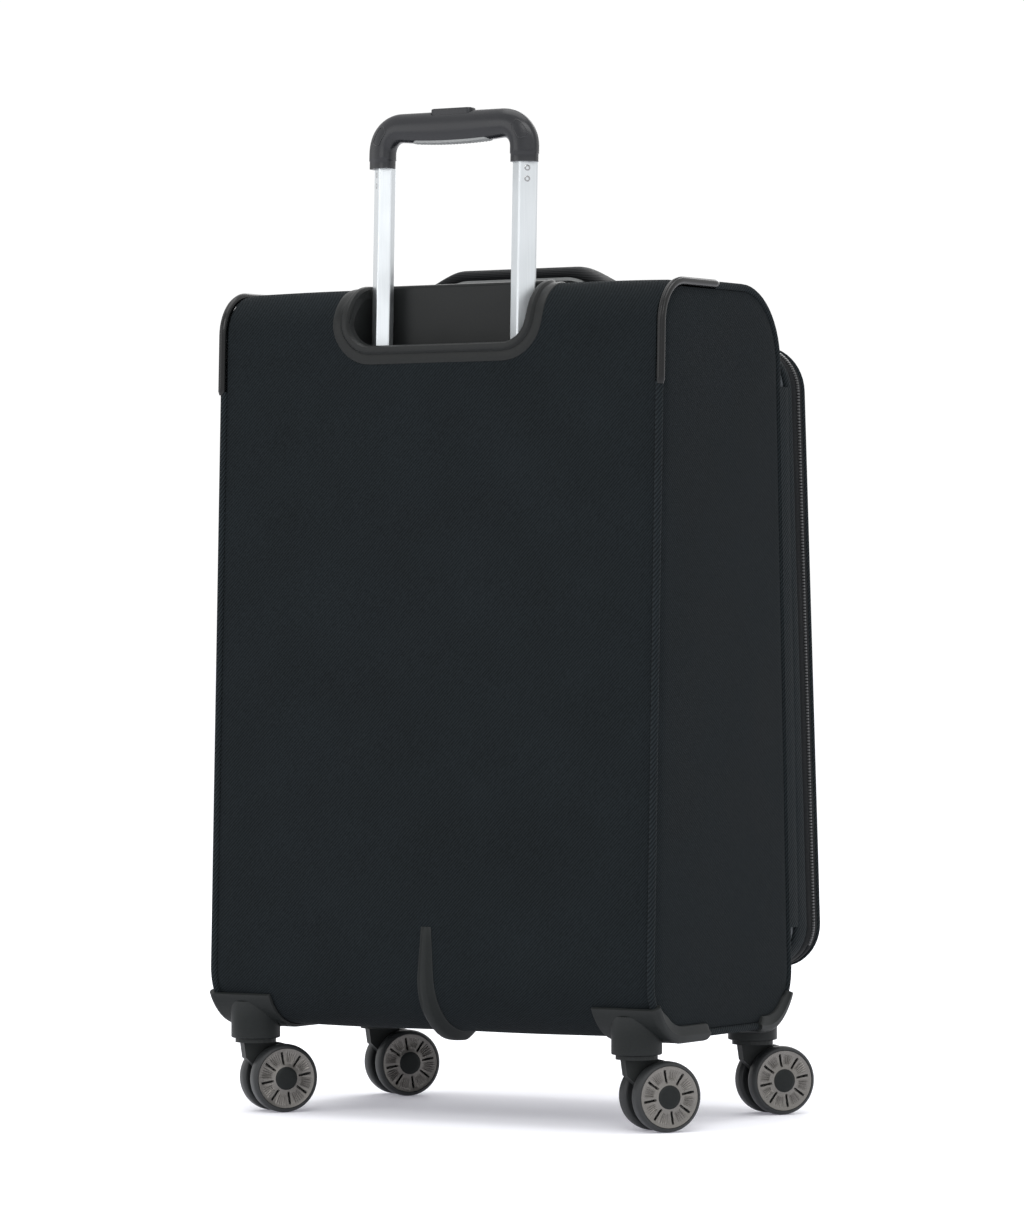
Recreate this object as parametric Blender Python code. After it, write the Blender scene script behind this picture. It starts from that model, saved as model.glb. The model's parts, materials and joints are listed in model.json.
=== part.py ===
"""Softside upright suitcase with a two-stage trolley handle and four twin-wheel casters.

Metres, +Z up. The pocket faces -Y, the trolley handle rises at +Y, and the casters stand on Z = 0.
The case leans back a little: its back and its trolley handle share one slope.
"""

from math import atan2, cos, pi, radians, sin, tan

import bmesh
import bpy
from mathutils import Vector

# Case: side profile corners (y, z), anticlockwise, with their radii
FRONT_BOTTOM = (-0.1084, 0.0720)
BACK_BOTTOM = (0.1210, 0.0720)
BACK_TOP = (0.1032, 0.6600)
FRONT_TOP = (-0.0857, 0.6615)
PROFILE = (FRONT_BOTTOM, BACK_BOTTOM, BACK_TOP, FRONT_TOP)
PROFILE_RADII = (0.045, 0.045, 0.035, 0.060)
HALF_WIDTH = 0.2045
PANEL = 0.004
GAP = 0.0003
PIPING_RADIUS = 0.003
WRAP_HALF_WIDTH = HALF_WIDTH - 0.0058
SIDE_INSET = 0.0053
CASE_FLOOR = FRONT_BOTTOM[1] + PANEL
SEAM_SHARE = 0.004
GUARD_RADIUS = 0.0041
GUARD_LOW_SHARE = 0.905
GUARD_TOP_SHARE = 0.22
FRAME_SIDE_WIDTH = 0.014
FRAME_TOP_WIDTH = 0.016
FRAME_OPENING_RADIUS = 0.030
WIRE_RADIUS = 0.0015
WIRE_SIDE_INSET = 0.006
WIRE_END_INSET = 0.009
BOARD_THICK = 0.0025
BOARD_MARGIN = 0.008
BOARD_TOP = 0.598
BOARD_FROM_BACK = 0.0330
ABOVE_CASE = 0.74
BEHIND_CASE = 0.16
ARC_STEPS = 6

# The model's origin is under the middle of its box, which the side handle and the casters shift
ORIGIN_SHIFT = (-0.0028, 0.0173, 0.0)

# Lid with its pocket
LID_HALF_WIDTH = 0.2035
LID_BOTTOM = 0.116
LID_TOP = 0.617
LID_RADIUS = 0.036
TAPE = 0.0025
LID_PANEL = 0.004
WALL = 0.003
FLAP = 0.004
POCKET_FACE_LOW = (-0.1540, 0.195)
POCKET_FACE_HIGH = (-0.1330, 0.537)
POCKET_ZIP_INSET = 0.0105
SLIDER_Z = 0.3700
MAIN_SLIDER_SPACING = 0.0075
POCKET_SLIDER_SPACING = 0.0075

# Trolley handle, in its own frame: s runs up the tubes and is 0 at the top of the case
TUBE_X = 0.0665
TUBE_Y = 0.0830
TUBE_SIZE = (0.0206, 0.0118)
TUBE_WALL = 0.0010
TUBE_GAP = 0.0004
MID_GROW = TUBE_WALL + TUBE_GAP
OUTER_GROW = 2 * MID_GROW
OUTER_TUBE_LOW = -0.5400
MID_TUBE_LOW = -0.3400
INNER_TUBE_LOW = -0.1750
COLLAR_LOW = 0.0975
GRIP_TOP = 0.1400
GRIP_HALF_WIDTH = 0.0790
GRIP_INNER_HALF_WIDTH = 0.0540
GRIP_UNDERSIDE = 0.1165
GRIP_DEPTH = 0.0170
BUTTON_HALF_WIDTH = 0.0190
BUTTON_DEPTH = 0.0110
BUTTON_PROUD = 0.0022

# Recess for the grip
RECESS_HALF_WIDTH = 0.0820
RECESS_FLOOR = 0.6050
RECESS_LIP = 0.6130
RECESS_FRONT = 0.0690
RIM_HALF_WIDTH = 0.0980
RIM_BOTTOM = 0.5990
RIM_PROUD = 0.0035
RIM_RADIUS = 0.030
CUP_WALL = 0.0020
CUP_RADIUS = 0.016
CUP_TOP = 0.6592
LIP_RADIUS = 0.012
LIP_FRONT = 0.0995

# Casters
SWIVEL_X = 0.1770
SWIVEL_BACK_Y = 0.0955
SWIVEL_FRONT_Y = -0.0915
CASTER_HEADING = radians(234)
WHEEL_RADIUS = 0.0276
WHEEL_TRAIL = 0.0195
WHEEL_WIDTH = 0.0132
HUB_HALF_WIDTH = 0.0052
BOSS_RADIUS = 0.0198
BOSS_BOTTOM = 0.0600
FORK_TOP = 0.0596
PIN_RADIUS = 0.0040
PIN_LOW = 0.0420
PIN_TOP = 0.0680
AXLE_RADIUS = 0.0025
BORE_GAP = 0.0004
FORK_PLATE = (0.0165, 0.0032)
FORK_HUB_RADIUS = 0.0080
FORK_WEB_HALF = 0.0048
TREAD_EDGE = 0.0020
ROUND_SEGMENTS = 24

# Wheel housings: a shell round the bottom corners of the case
HOUSING_CLEAR = 0.0014
HOUSING_PROUD = 0.0038
HOUSING_INNER_X = 0.1490
HOUSING_TOP = 0.0985
HOUSING_SIDE_BAND = 0.0130
HOUSING_BACK_END = 0.0320
HOUSING_FRONT_END = -0.0515

# Carry handles
HANDLE_LENGTH = 0.2050
HANDLE_WIDTH = 0.0280
HANDLE_THICK = 0.0110
HANDLE_RISE = 0.0200
TOP_HANDLE_Y = -0.0300
SIDE_HANDLE_Y = 0.0000
SIDE_HANDLE_Z = 0.3700

# Kick foot: the taper of its half width and of its height, from under the case up the back
KICK_HALF_WIDTH = (0.0125, 0.0040)
KICK_HEIGHT = (0.0100, 0.0030)
KICK_TOE_HEIGHT = 0.0040


# Outlines -------------------------------------------------------------------------------------

def corner_arcs(corners, radii, steps=ARC_STEPS):
    """One list of (u, v, normal u, normal v) for each rounded corner of an anticlockwise outline."""
    arcs = []
    for i, radius in enumerate(radii):
        here = Vector(corners[i])
        back = (Vector(corners[i - 1]) - here).normalized()
        ahead = (Vector(corners[(i + 1) % len(corners)]) - here).normalized()
        half = back.angle(ahead) / 2
        centre = here + (back + ahead).normalized() * radius / sin(half)
        first = here + back * radius / tan(half) - centre
        last = here + ahead * radius / tan(half) - centre
        start = atan2(first.y, first.x)
        sweep = (atan2(last.y, last.x) - start + pi) % (2 * pi) - pi
        outward = 1 if sweep > 0 else -1
        arc = []
        for k in range(steps + 1):
            angle = start + sweep * k / steps
            direction = Vector((cos(angle), sin(angle)))
            arc.append((*(centre + direction * radius), *(direction * outward)))
        arcs.append(arc)
    return arcs


def outline(corners, radii, steps=ARC_STEPS):
    return [point for arc in corner_arcs(corners, radii, steps) for point in arc]


def shifted(path, outset):
    """The path moved outwards along its normals."""
    return [(u + nu * outset, v + nv * outset, nu, nv) for u, v, nu, nv in path]


def between(start, end, share):
    """A point on the straight run from one arc's end to the next arc's start."""
    return tuple(a + (b - a) * share for a, b in zip(start, end))


def box_corners(half_width, low, high):
    return ((-half_width, low), (half_width, low), (half_width, high), (-half_width, high))


def rounded_box(half_width, low, high, radius, steps=ARC_STEPS):
    return outline(box_corners(half_width, low, high), (radius,) * 4, steps)


CASE_ARCS = corner_arcs(PROFILE, PROFILE_RADII)
CASE_PROFILE = [point for arc in CASE_ARCS for point in arc]


def slope(low, high, z):
    """The y at height z of the line through two (y, z) points."""
    return low[0] + (high[0] - low[0]) * (z - low[1]) / (high[1] - low[1])


def back_y(z):
    return slope(BACK_BOTTOM, BACK_TOP, z)


def front_y(z):
    return slope(FRONT_BOTTOM, FRONT_TOP, z)


def pocket_y(z):
    return slope(POCKET_FACE_LOW, POCKET_FACE_HIGH, z)


def from_side(u, v, w):
    """Profile plane: u is y, v is z, w is x."""
    return (w, u, v)


def on_front(u, v, w):
    """Front plane: u is x, v is z, w is the distance behind the front of the case."""
    return (u, front_y(v) + w, v)


def flat_front(u, v, w):
    """Upright plane: u is x, v is z, w is y."""
    return (u, w, v)


def flat_top(u, v, w):
    return (u, v, w)


# Solids ---------------------------------------------------------------------------------------

def closed_mesh(rings, joined_ends, capped):
    """A bmesh of rings of points: neighbours joined by quads, then the two ends joined or capped."""
    mesh = bmesh.new()
    loops = [[mesh.verts.new(point) for point in ring] for ring in rings]
    pairs = list(zip(loops, loops[1:]))
    if joined_ends:
        pairs.append((loops[-1], loops[0]))
    for a, b in pairs:
        for i in range(len(a)):
            j = (i + 1) % len(a)
            mesh.faces.new((a[i], a[j], b[j], b[i]))
    if capped:
        mesh.faces.new(loops[0])
        mesh.faces.new(loops[-1])
    bmesh.ops.recalc_face_normals(mesh, faces=mesh.faces)
    return mesh


def prism(path, place, low, high):
    """The outline drawn out from w = low to w = high. Either may be a function of (u, v)."""
    rings = []
    for end in (low, high):
        rings.append([place(p[0], p[1], end(p[0], p[1]) if callable(end) else end) for p in path])
    return closed_mesh(rings, joined_ends=False, capped=True)


def chamfered_prism(path, place, low, high, chamfer):
    """A prism whose two rims are chamfered."""
    edge = shifted(path, -chamfer)
    levels = ((edge, low), (path, low + chamfer), (path, high - chamfer), (edge, high))
    rings = [[place(p[0], p[1], w) for p in ring] for ring, w in levels]
    return closed_mesh(rings, joined_ends=False, capped=True)


def frame_prism(outer, inner, place, low, high):
    """A prism with a hole: both outlines have the same number of points."""
    rings = []
    for path, end in ((outer, low), (outer, high), (inner, high), (inner, low)):
        rings.append([place(p[0], p[1], end(p[0], p[1]) if callable(end) else end) for p in path])
    return closed_mesh(rings, joined_ends=True, capped=False)


def band(path, section, place, closed=False):
    """The section, (outwards, across) points, swept along the path."""
    rings = [[place(u + nu * out, v + nv * out, across) for out, across in section] for u, v, nu, nv in path]
    return closed_mesh(rings, joined_ends=closed, capped=not closed)


def rectangle(out_low, out_high, across_low, across_high):
    return (
        (out_low, across_low),
        (out_high, across_low),
        (out_high, across_high),
        (out_low, across_high),
    )


def circle(radius, centre_out, centre_across, points=8):
    turns = [2 * pi * k / points for k in range(points)]
    return [(centre_out + radius * cos(a), centre_across + radius * sin(a)) for a in turns]


def turned(profile, place, segments=ROUND_SEGMENTS):
    """A ring with a bore: a closed (radius, height) profile turned about an axis."""
    rings = []
    for k in range(segments):
        angle = 2 * pi * k / segments
        rings.append([place(r * cos(angle), r * sin(angle), h) for r, h in profile])
    return closed_mesh(rings, joined_ends=True, capped=False)


def cylinder(radius, low, high, place, segments=ROUND_SEGMENTS):
    return prism([(x, y) for x, y in circle(radius, 0, 0, segments)], place, low, high)


def cuboid(low, high):
    corners = ((low[0], low[1]), (high[0], low[1]), (high[0], high[1]), (low[0], high[1]))
    return prism(corners, flat_top, low[2], high[2])


# Objects --------------------------------------------------------------------------------------

def material(name, colour, roughness, metallic=0.0):
    made = bpy.data.materials.new(name)
    made.use_nodes = True
    shader = made.node_tree.nodes["Principled BSDF"]
    shader.inputs["Base Color"].default_value = (*colour, 1.0)
    shader.inputs["Roughness"].default_value = roughness
    shader.inputs["Metallic"].default_value = metallic
    return made


def pivot(name, location, parent, turn=(0.0, 0.0, 0.0)):
    """An empty on a joint's axis, whose children turn or slide with it."""
    empty = bpy.data.objects.new(name, None)
    bpy.context.scene.collection.objects.link(empty)
    empty.parent = parent
    empty.location = location
    empty.rotation_euler = turn
    bpy.context.view_layer.update()
    return empty


def helper(mesh, parent=None):
    """A passing object for a Boolean."""
    data = bpy.data.meshes.new("helper")
    mesh.to_mesh(data)
    mesh.free()
    made = bpy.data.objects.new("helper", data)
    bpy.context.scene.collection.objects.link(made)
    made.parent = parent
    return made


def combined(base, steps, parent=None):
    """The base mesh after each (operation, bmesh) step, as mesh data in the same frame."""
    body = helper(base, parent)
    tools = []
    for operation, mesh in steps:
        tool = helper(mesh, parent)
        tools.append(tool)
        change = body.modifiers.new(operation, "BOOLEAN")
        change.operation = operation
        change.object = tool
    bpy.context.view_layer.update()
    evaluated = body.evaluated_get(bpy.context.evaluated_depsgraph_get())
    data = bpy.data.meshes.new_from_object(evaluated)
    for used in (body, *tools):
        bpy.data.objects.remove(used)
    return data


def piece(name, shape, finish, parent, smooth=False, in_case_frame=True):
    """Adds one solid. Its points are in the case's frame, or in its parent's own frame."""
    if isinstance(shape, bpy.types.Mesh):
        data = shape
    else:
        data = bpy.data.meshes.new(name)
        shape.to_mesh(data)
        shape.free()
    if not data.materials:
        data.materials.append(finish)
    if smooth:
        data.shade_smooth()
        data.set_sharp_from_angle(angle=radians(40))
    made = bpy.data.objects.new(name, data)
    bpy.context.scene.collection.objects.link(made)
    made.parent = parent
    if in_case_frame and parent != case:
        made.matrix_parent_inverse = parent.matrix_world.inverted() @ case.matrix_world
    return made


# Case -----------------------------------------------------------------------------------------

def grip_recess(half_width, floor, radius, front, back):
    """The space of the grip recess: a rounded trough open at the top and at the back."""
    path = rounded_box(half_width, floor, ABOVE_CASE, radius)
    return prism(path, flat_front, front, back)


def build_shell():
    """The fabric panels: a wrap of back, top and bottom, the two sides and the front frame."""
    front_bottom_arc, back_bottom_arc, back_top_arc, front_top_arc = CASE_ARCS
    wrap = rectangle(-PANEL, 0, -WRAP_HALF_WIDTH, WRAP_HALF_WIDTH)
    around_cup = CUP_WALL + 2 * GAP
    recess = (
        RECESS_HALF_WIDTH + around_cup,
        RECESS_FLOOR - around_cup,
        CUP_RADIUS + 2 * CUP_WALL,
        RECESS_FRONT - around_cup,
        BEHIND_CASE,
    )

    piece(
        "back_panel",
        combined(
            band(back_bottom_arc + back_top_arc, wrap, from_side),
            [("DIFFERENCE", grip_recess(*recess))],
        ),
        twill,
        case,
    )
    top_path = [between(back_top_arc[-1], front_top_arc[0], SEAM_SHARE)]
    top_path += [point for point in front_top_arc if point[1] > LID_TOP + GAP]
    piece(
        "top_panel",
        combined(
            band(top_path, wrap, from_side),
            [("DIFFERENCE", grip_recess(*recess))],
        ),
        twill,
        case,
    )
    bottom_path = front_bottom_arc + [between(front_bottom_arc[-1], back_bottom_arc[0], 1 - SEAM_SHARE)]
    piece("bottom_panel", band(bottom_path, wrap, from_side), twill, case)

    side = shifted(CASE_PROFILE, -SIDE_INSET)
    for name, sign in (("left_side_panel", -1), ("right_side_panel", 1)):
        piece(name, prism(side, from_side, sign * (HALF_WIDTH - PANEL), sign * HALF_WIDTH), twill, case)

    outer = rounded_box(WRAP_HALF_WIDTH, front_bottom_arc[0][1] + 2 * GAP, LID_TOP - GAP, 0.002)
    inner = rounded_box(
        WRAP_HALF_WIDTH - FRAME_SIDE_WIDTH,
        LID_BOTTOM + FRAME_SIDE_WIDTH,
        LID_TOP - FRAME_TOP_WIDTH,
        FRAME_OPENING_RADIUS,
    )
    piece("front_frame", frame_prism(outer, inner, on_front, 0.0, PANEL), twill, case)

    wire = rounded_box(
        WRAP_HALF_WIDTH - WIRE_SIDE_INSET,
        LID_BOTTOM + WIRE_END_INSET,
        LID_TOP - WIRE_END_INSET,
        FRAME_OPENING_RADIUS - 0.002,
    )
    section = circle(WIRE_RADIUS, 0, PANEL + WIRE_RADIUS + 0.0007, 6)
    piece("wire_frame", band(wire, section, on_front, closed=True), spring_steel, case, smooth=True)


def build_edges():
    """The piping round both sides, and the plastic guard over each back top corner."""
    back_bottom_arc, back_top_arc, front_top_arc = CASE_ARCS[1:]
    guard_low = between(back_bottom_arc[-1], back_top_arc[0], GUARD_LOW_SHARE)
    guard_high = between(back_top_arc[-1], front_top_arc[0], GUARD_TOP_SHARE)
    guard_path = [guard_low, *back_top_arc, guard_high]
    after = between(back_top_arc[-1], front_top_arc[0], GUARD_TOP_SHARE + SEAM_SHARE)
    before = between(back_bottom_arc[-1], back_top_arc[0], GUARD_LOW_SHARE - 0.001)
    piping_path = [after, *front_top_arc, *CASE_ARCS[0], *back_bottom_arc, before]
    for side, sign in (("left", -1), ("right", 1)):
        centre = sign * (HALF_WIDTH - PIPING_RADIUS + 0.0005)
        section = circle(PIPING_RADIUS, -0.002, centre)
        piece(side + "_piping", band(piping_path, section, from_side), twill, case, smooth=True)
        section = circle(GUARD_RADIUS, -0.001, sign * (HALF_WIDTH - 0.001), 10)
        piece(side + "_corner_guard", band(guard_path, section, from_side), gloss_black, case, smooth=True)


def build_inner_boards():
    """The board behind the lining that carries the trolley, and the board over the casters."""
    half = HALF_WIDTH - PANEL - BOARD_MARGIN

    def board_front(_, v):
        return back_y(v) - BOARD_FROM_BACK

    def board_back(_, v):
        return back_y(v) - BOARD_FROM_BACK + BOARD_THICK

    path = rounded_box(half, CASE_FLOOR + 0.010, BOARD_TOP, 0.012)
    piece("back_board", prism(path, flat_front, board_front, board_back), grey_board, case)
    low = (-half, FRONT_BOTTOM[0] + PROFILE_RADII[0] + 0.002, CASE_FLOOR + GAP)
    high = (half, BACK_BOTTOM[0] - PROFILE_RADII[1] - 0.002, CASE_FLOOR + GAP + BOARD_THICK)
    piece("bottom_board", cuboid(low, high), grey_board, case)


def tube_outline(side, grow):
    """The tube's D-like section in its own frame. side is -1 or 1, and grow moves each face out."""
    half, deep = TUBE_SIZE[0] / 2, TUBE_SIZE[1] / 2
    corners = ((-half, -deep), (half + 0.001, -deep), (-0.001, deep), (-half, deep - 0.0047))
    path = shifted(outline(corners, (0.0015, 0.0013, 0.0015, 0.0015), 2), grow)
    return [(side * (TUBE_X + point[0]), point[1]) for point in path[::side]]


def tube(side, grow, low, high):
    """A hollow length of tube whose outside is grown from the smallest one's."""
    outer = tube_outline(side, grow)
    inner = tube_outline(side, grow - TUBE_WALL)
    return frame_prism(outer, inner, flat_top, low, high)


def build_recess():
    """The bezel of the grip recess: a cup in the case with a raised rim on the back and the top."""
    cup_path = rounded_box(
        RECESS_HALF_WIDTH + CUP_WALL,
        RECESS_FLOOR - CUP_WALL,
        CUP_TOP,
        CUP_RADIUS + CUP_WALL,
    )
    rim_path = rounded_box(RIM_HALF_WIDTH, RIM_BOTTOM, ABOVE_CASE, RIM_RADIUS)
    steps = [
        ("INTERSECT", prism(rim_path, flat_front, RECESS_FRONT - 0.012, BEHIND_CASE)),
        ("DIFFERENCE", prism(shifted(CASE_PROFILE, GAP), from_side, -0.12, 0.12)),
        (
            "UNION",
            prism(
                cup_path,
                flat_front,
                RECESS_FRONT - CUP_WALL,
                lambda _, v: back_y(v) + 0.0010,
            ),
        ),
        (
            "DIFFERENCE",
            grip_recess(RECESS_HALF_WIDTH, RECESS_FLOOR, CUP_RADIUS, RECESS_FRONT, LIP_FRONT + 0.0015),
        ),
        ("DIFFERENCE", grip_recess(RECESS_HALF_WIDTH, RECESS_LIP, LIP_RADIUS, LIP_FRONT, BEHIND_CASE)),
    ]
    to_case = case.matrix_world.inverted() @ trolley.matrix_world
    floor = RECESS_FLOOR - BACK_TOP[1]
    for side in (-1, 1):
        hole = prism(tube_outline(side, MID_GROW + TUBE_GAP), flat_top, floor - 0.020, floor + 0.015)
        bmesh.ops.transform(hole, matrix=to_case, verts=hole.verts)
        steps.append(("DIFFERENCE", hole))
    shell = prism(shifted(CASE_PROFILE, RIM_PROUD), from_side, -0.11, 0.11)
    piece("trolley_bezel", combined(shell, steps), satin_black, case, smooth=True)


def build_trolley():
    """Both telescoping stages, the fixed outer tubes and the foot that holds them."""
    floor = RECESS_FLOOR - BACK_TOP[1]
    for side, name in ((-1, "left"), (1, "right")):
        piece(
            name + "_outer_tube",
            tube(side, OUTER_GROW, OUTER_TUBE_LOW, floor - CUP_WALL - 0.0012),
            aluminium,
            trolley,
            in_case_frame=False,
        )
        piece(
            name + "_mid_tube",
            tube(side, MID_GROW, MID_TUBE_LOW, floor - 0.0005),
            aluminium,
            mid_stage,
            in_case_frame=False,
        )
        piece(
            name + "_inner_tube",
            tube(side, 0.0, INNER_TUBE_LOW, COLLAR_LOW - GAP),
            aluminium,
            grip_stage,
            in_case_frame=False,
        )
    foot_top = OUTER_TUBE_LOW - GAP
    foot = cuboid((-0.090, -0.0090, foot_top - 0.010), (0.090, 0.0090, foot_top))
    piece("tube_foot", foot, satin_black, trolley, in_case_frame=False)
    build_grip()


def build_grip():
    corners = (
        (-GRIP_HALF_WIDTH, COLLAR_LOW),
        (-GRIP_INNER_HALF_WIDTH, COLLAR_LOW),
        (-GRIP_INNER_HALF_WIDTH, GRIP_UNDERSIDE),
        (GRIP_INNER_HALF_WIDTH, GRIP_UNDERSIDE),
        (GRIP_INNER_HALF_WIDTH, COLLAR_LOW),
        (GRIP_HALF_WIDTH, COLLAR_LOW),
        (GRIP_HALF_WIDTH, GRIP_TOP),
        (-GRIP_HALF_WIDTH, GRIP_TOP),
    )
    radii = (0.0050, 0.0050, 0.0100, 0.0100, 0.0050, 0.0050, 0.0170, 0.0170)
    body = chamfered_prism(outline(corners, radii, 4), flat_front, -GRIP_DEPTH / 2, GRIP_DEPTH / 2, 0.0030)
    slot_floor = GRIP_TOP - 0.0090
    clear = 0.0005
    half_depth = BUTTON_DEPTH / 2
    slot = cuboid(
        (-BUTTON_HALF_WIDTH - clear, -half_depth - clear, slot_floor),
        (BUTTON_HALF_WIDTH + clear, half_depth + clear, GRIP_TOP + 0.01),
    )
    handle = combined(body, [("DIFFERENCE", slot)])
    piece("grip_handle", handle, satin_black, grip_stage, smooth=True, in_case_frame=False)
    pad_path = rounded_box(0.0360, -0.0055, 0.0055, 0.004, 3)
    pad = prism(pad_path, flat_top, GRIP_UNDERSIDE - GAP - 0.0020, GRIP_UNDERSIDE - GAP)
    piece("grip_pad", pad, grey_rubber, grip_stage, in_case_frame=False)
    cap_path = rounded_box(BUTTON_HALF_WIDTH, -half_depth, half_depth, 0.004, 3)
    cap = prism(cap_path, flat_top, GRIP_TOP - 0.0050, GRIP_TOP + BUTTON_PROUD)
    piece("release_button", cap, satin_black, button, smooth=True, in_case_frame=False)


def arched_handle(place):
    """A padded carry handle drawn from the side: two sewn-down ends and a raised middle."""
    half = HANDLE_LENGTH / 2
    rise = HANDLE_RISE
    thick = HANDLE_THICK
    corners = (
        (-half, GAP),
        (-half + 0.020, GAP),
        (-half + 0.034, rise - thick),
        (half - 0.034, rise - thick),
        (half - 0.020, GAP),
        (half, GAP),
        (half - 0.018, rise),
        (-half + 0.018, rise),
    )
    radii = (0.001, 0.004, 0.006, 0.006, 0.004, 0.001, 0.014, 0.014)
    return prism(outline(corners, radii, 3), place, -HANDLE_WIDTH / 2, HANDLE_WIDTH / 2)


def build_carry_handles():
    top = slope((BACK_TOP[1], BACK_TOP[0]), (FRONT_TOP[1], FRONT_TOP[0]), TOP_HANDLE_Y)

    def over_top(u, v, w):
        return (u, TOP_HANDLE_Y + w, top + GAP + v)

    def beside_case(u, v, w):
        return (HALF_WIDTH + v, SIDE_HANDLE_Y + w, SIDE_HANDLE_Z + u)

    piece("top_handle", arched_handle(over_top), black_webbing, case, smooth=True)
    piece("side_handle", arched_handle(beside_case), black_webbing, case, smooth=True)


def build_kick_foot():
    """A tapered rib that guards the back bottom edge, on the middle of the back."""
    back_bottom_arc, back_top_arc = CASE_ARCS[1:3]
    path = [between(CASE_ARCS[0][-1], back_bottom_arc[0], 0.86), *back_bottom_arc]
    path += [between(back_bottom_arc[-1], back_top_arc[0], share) for share in (0.02, 0.072)]
    rings = []
    for i, (u, v, nu, nv) in enumerate(path):
        share = i / (len(path) - 1)
        half = KICK_HALF_WIDTH[0] + (KICK_HALF_WIDTH[1] - KICK_HALF_WIDTH[0]) * share
        tall = KICK_HEIGHT[0] + (KICK_HEIGHT[1] - KICK_HEIGHT[0]) * share if i else KICK_TOE_HEIGHT
        section = ((GAP, half), (tall, half * 0.45), (tall, -half * 0.45), (GAP, -half))
        rings.append([(across, u + nu * out, v + nv * out) for out, across in section])
    piece("kick_foot", closed_mesh(rings, joined_ends=False, capped=True), satin_black, case, smooth=True)


# Casters --------------------------------------------------------------------------------------

def housing(side, end, swivel_y, into_case):
    """One wheel housing. side is the sign of x, into_case is the y direction to the other casters."""
    outer_x = HALF_WIDTH + 0.0030
    low_x, high_x = sorted((side * HOUSING_INNER_X, side * outer_x))
    far = end - into_case * 0.2
    region = cuboid(
        (low_x, min(end, far), BOSS_BOTTOM - 0.02),
        (high_x, max(end, far), HOUSING_TOP),
    )
    shell = prism(shifted(CASE_PROFILE, HOUSING_PROUD), from_side, low_x, high_x)

    def under_swivel(u, v, w):
        return (side * SWIVEL_X + u, swivel_y + v, w)

    inside_x = sorted((side * (HOUSING_INNER_X - 0.05), side * (HALF_WIDTH + 0.0009)))
    window_x = sorted((side * HALF_WIDTH, side * (outer_x + 0.01)))
    steps = [
        ("INTERSECT", region),
        ("UNION", cylinder(BOSS_RADIUS, BOSS_BOTTOM, CASE_FLOOR + 0.016, under_swivel)),
        ("DIFFERENCE", prism(shifted(CASE_PROFILE, HOUSING_CLEAR), from_side, *inside_x)),
        ("DIFFERENCE", prism(shifted(CASE_PROFILE, -HOUSING_SIDE_BAND), from_side, *window_x)),
        ("DIFFERENCE", cylinder(PIN_RADIUS + BORE_GAP, BOSS_BOTTOM - 0.01, PIN_TOP + 0.0004, under_swivel)),
    ]
    return combined(shell, steps)


def along_axle(u, v, w):
    """Round the wheel axle: u is the trailing direction, v is up, w is along the axle."""
    return (WHEEL_TRAIL + u, w, WHEEL_RADIUS + v)


def fork_mesh():
    """The fork: a round plate under the housing and one web that goes down between the wheels."""
    web = [(WHEEL_TRAIL + u, WHEEL_RADIUS + v) for u, v in circle(0.0085, 0, 0, 16) if v < 0.004]
    web += [(0.0140, FORK_TOP - 0.002), (-0.0120, FORK_TOP - 0.002), (-0.0100, 0.0440)]
    web = sorted(web, key=lambda p: atan2(p[1] - 0.042, p[0] - 0.006))
    steps = [
        ("UNION", cylinder(FORK_PLATE[0], FORK_TOP - FORK_PLATE[1], FORK_TOP, flat_top)),
        ("UNION", cylinder(FORK_HUB_RADIUS, -HUB_HALF_WIDTH, HUB_HALF_WIDTH, along_axle, 16)),
        ("DIFFERENCE", cylinder(PIN_RADIUS + GAP, PIN_LOW - 0.0005, FORK_TOP + 0.01, flat_top, 16)),
        ("DIFFERENCE", cylinder(AXLE_RADIUS + GAP, -0.02, 0.02, along_axle, 12)),
    ]
    return combined(prism(web, flat_front, -FORK_WEB_HALF, FORK_WEB_HALF), steps)


def wheel_mesh(side):
    """A wheel with a rounded tread. side is the sign of its place along the axle."""
    near = side * (HUB_HALF_WIDTH + 0.0006)
    far = near + side * WHEEL_WIDTH
    edge = TREAD_EDGE
    bore = AXLE_RADIUS + GAP
    profile = (
        (bore, near),
        (WHEEL_RADIUS - edge, near),
        (WHEEL_RADIUS, near + side * edge),
        (WHEEL_RADIUS, far - side * edge),
        (WHEEL_RADIUS - edge, far),
        (bore, far),
    )
    return turned(profile, along_axle)


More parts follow.
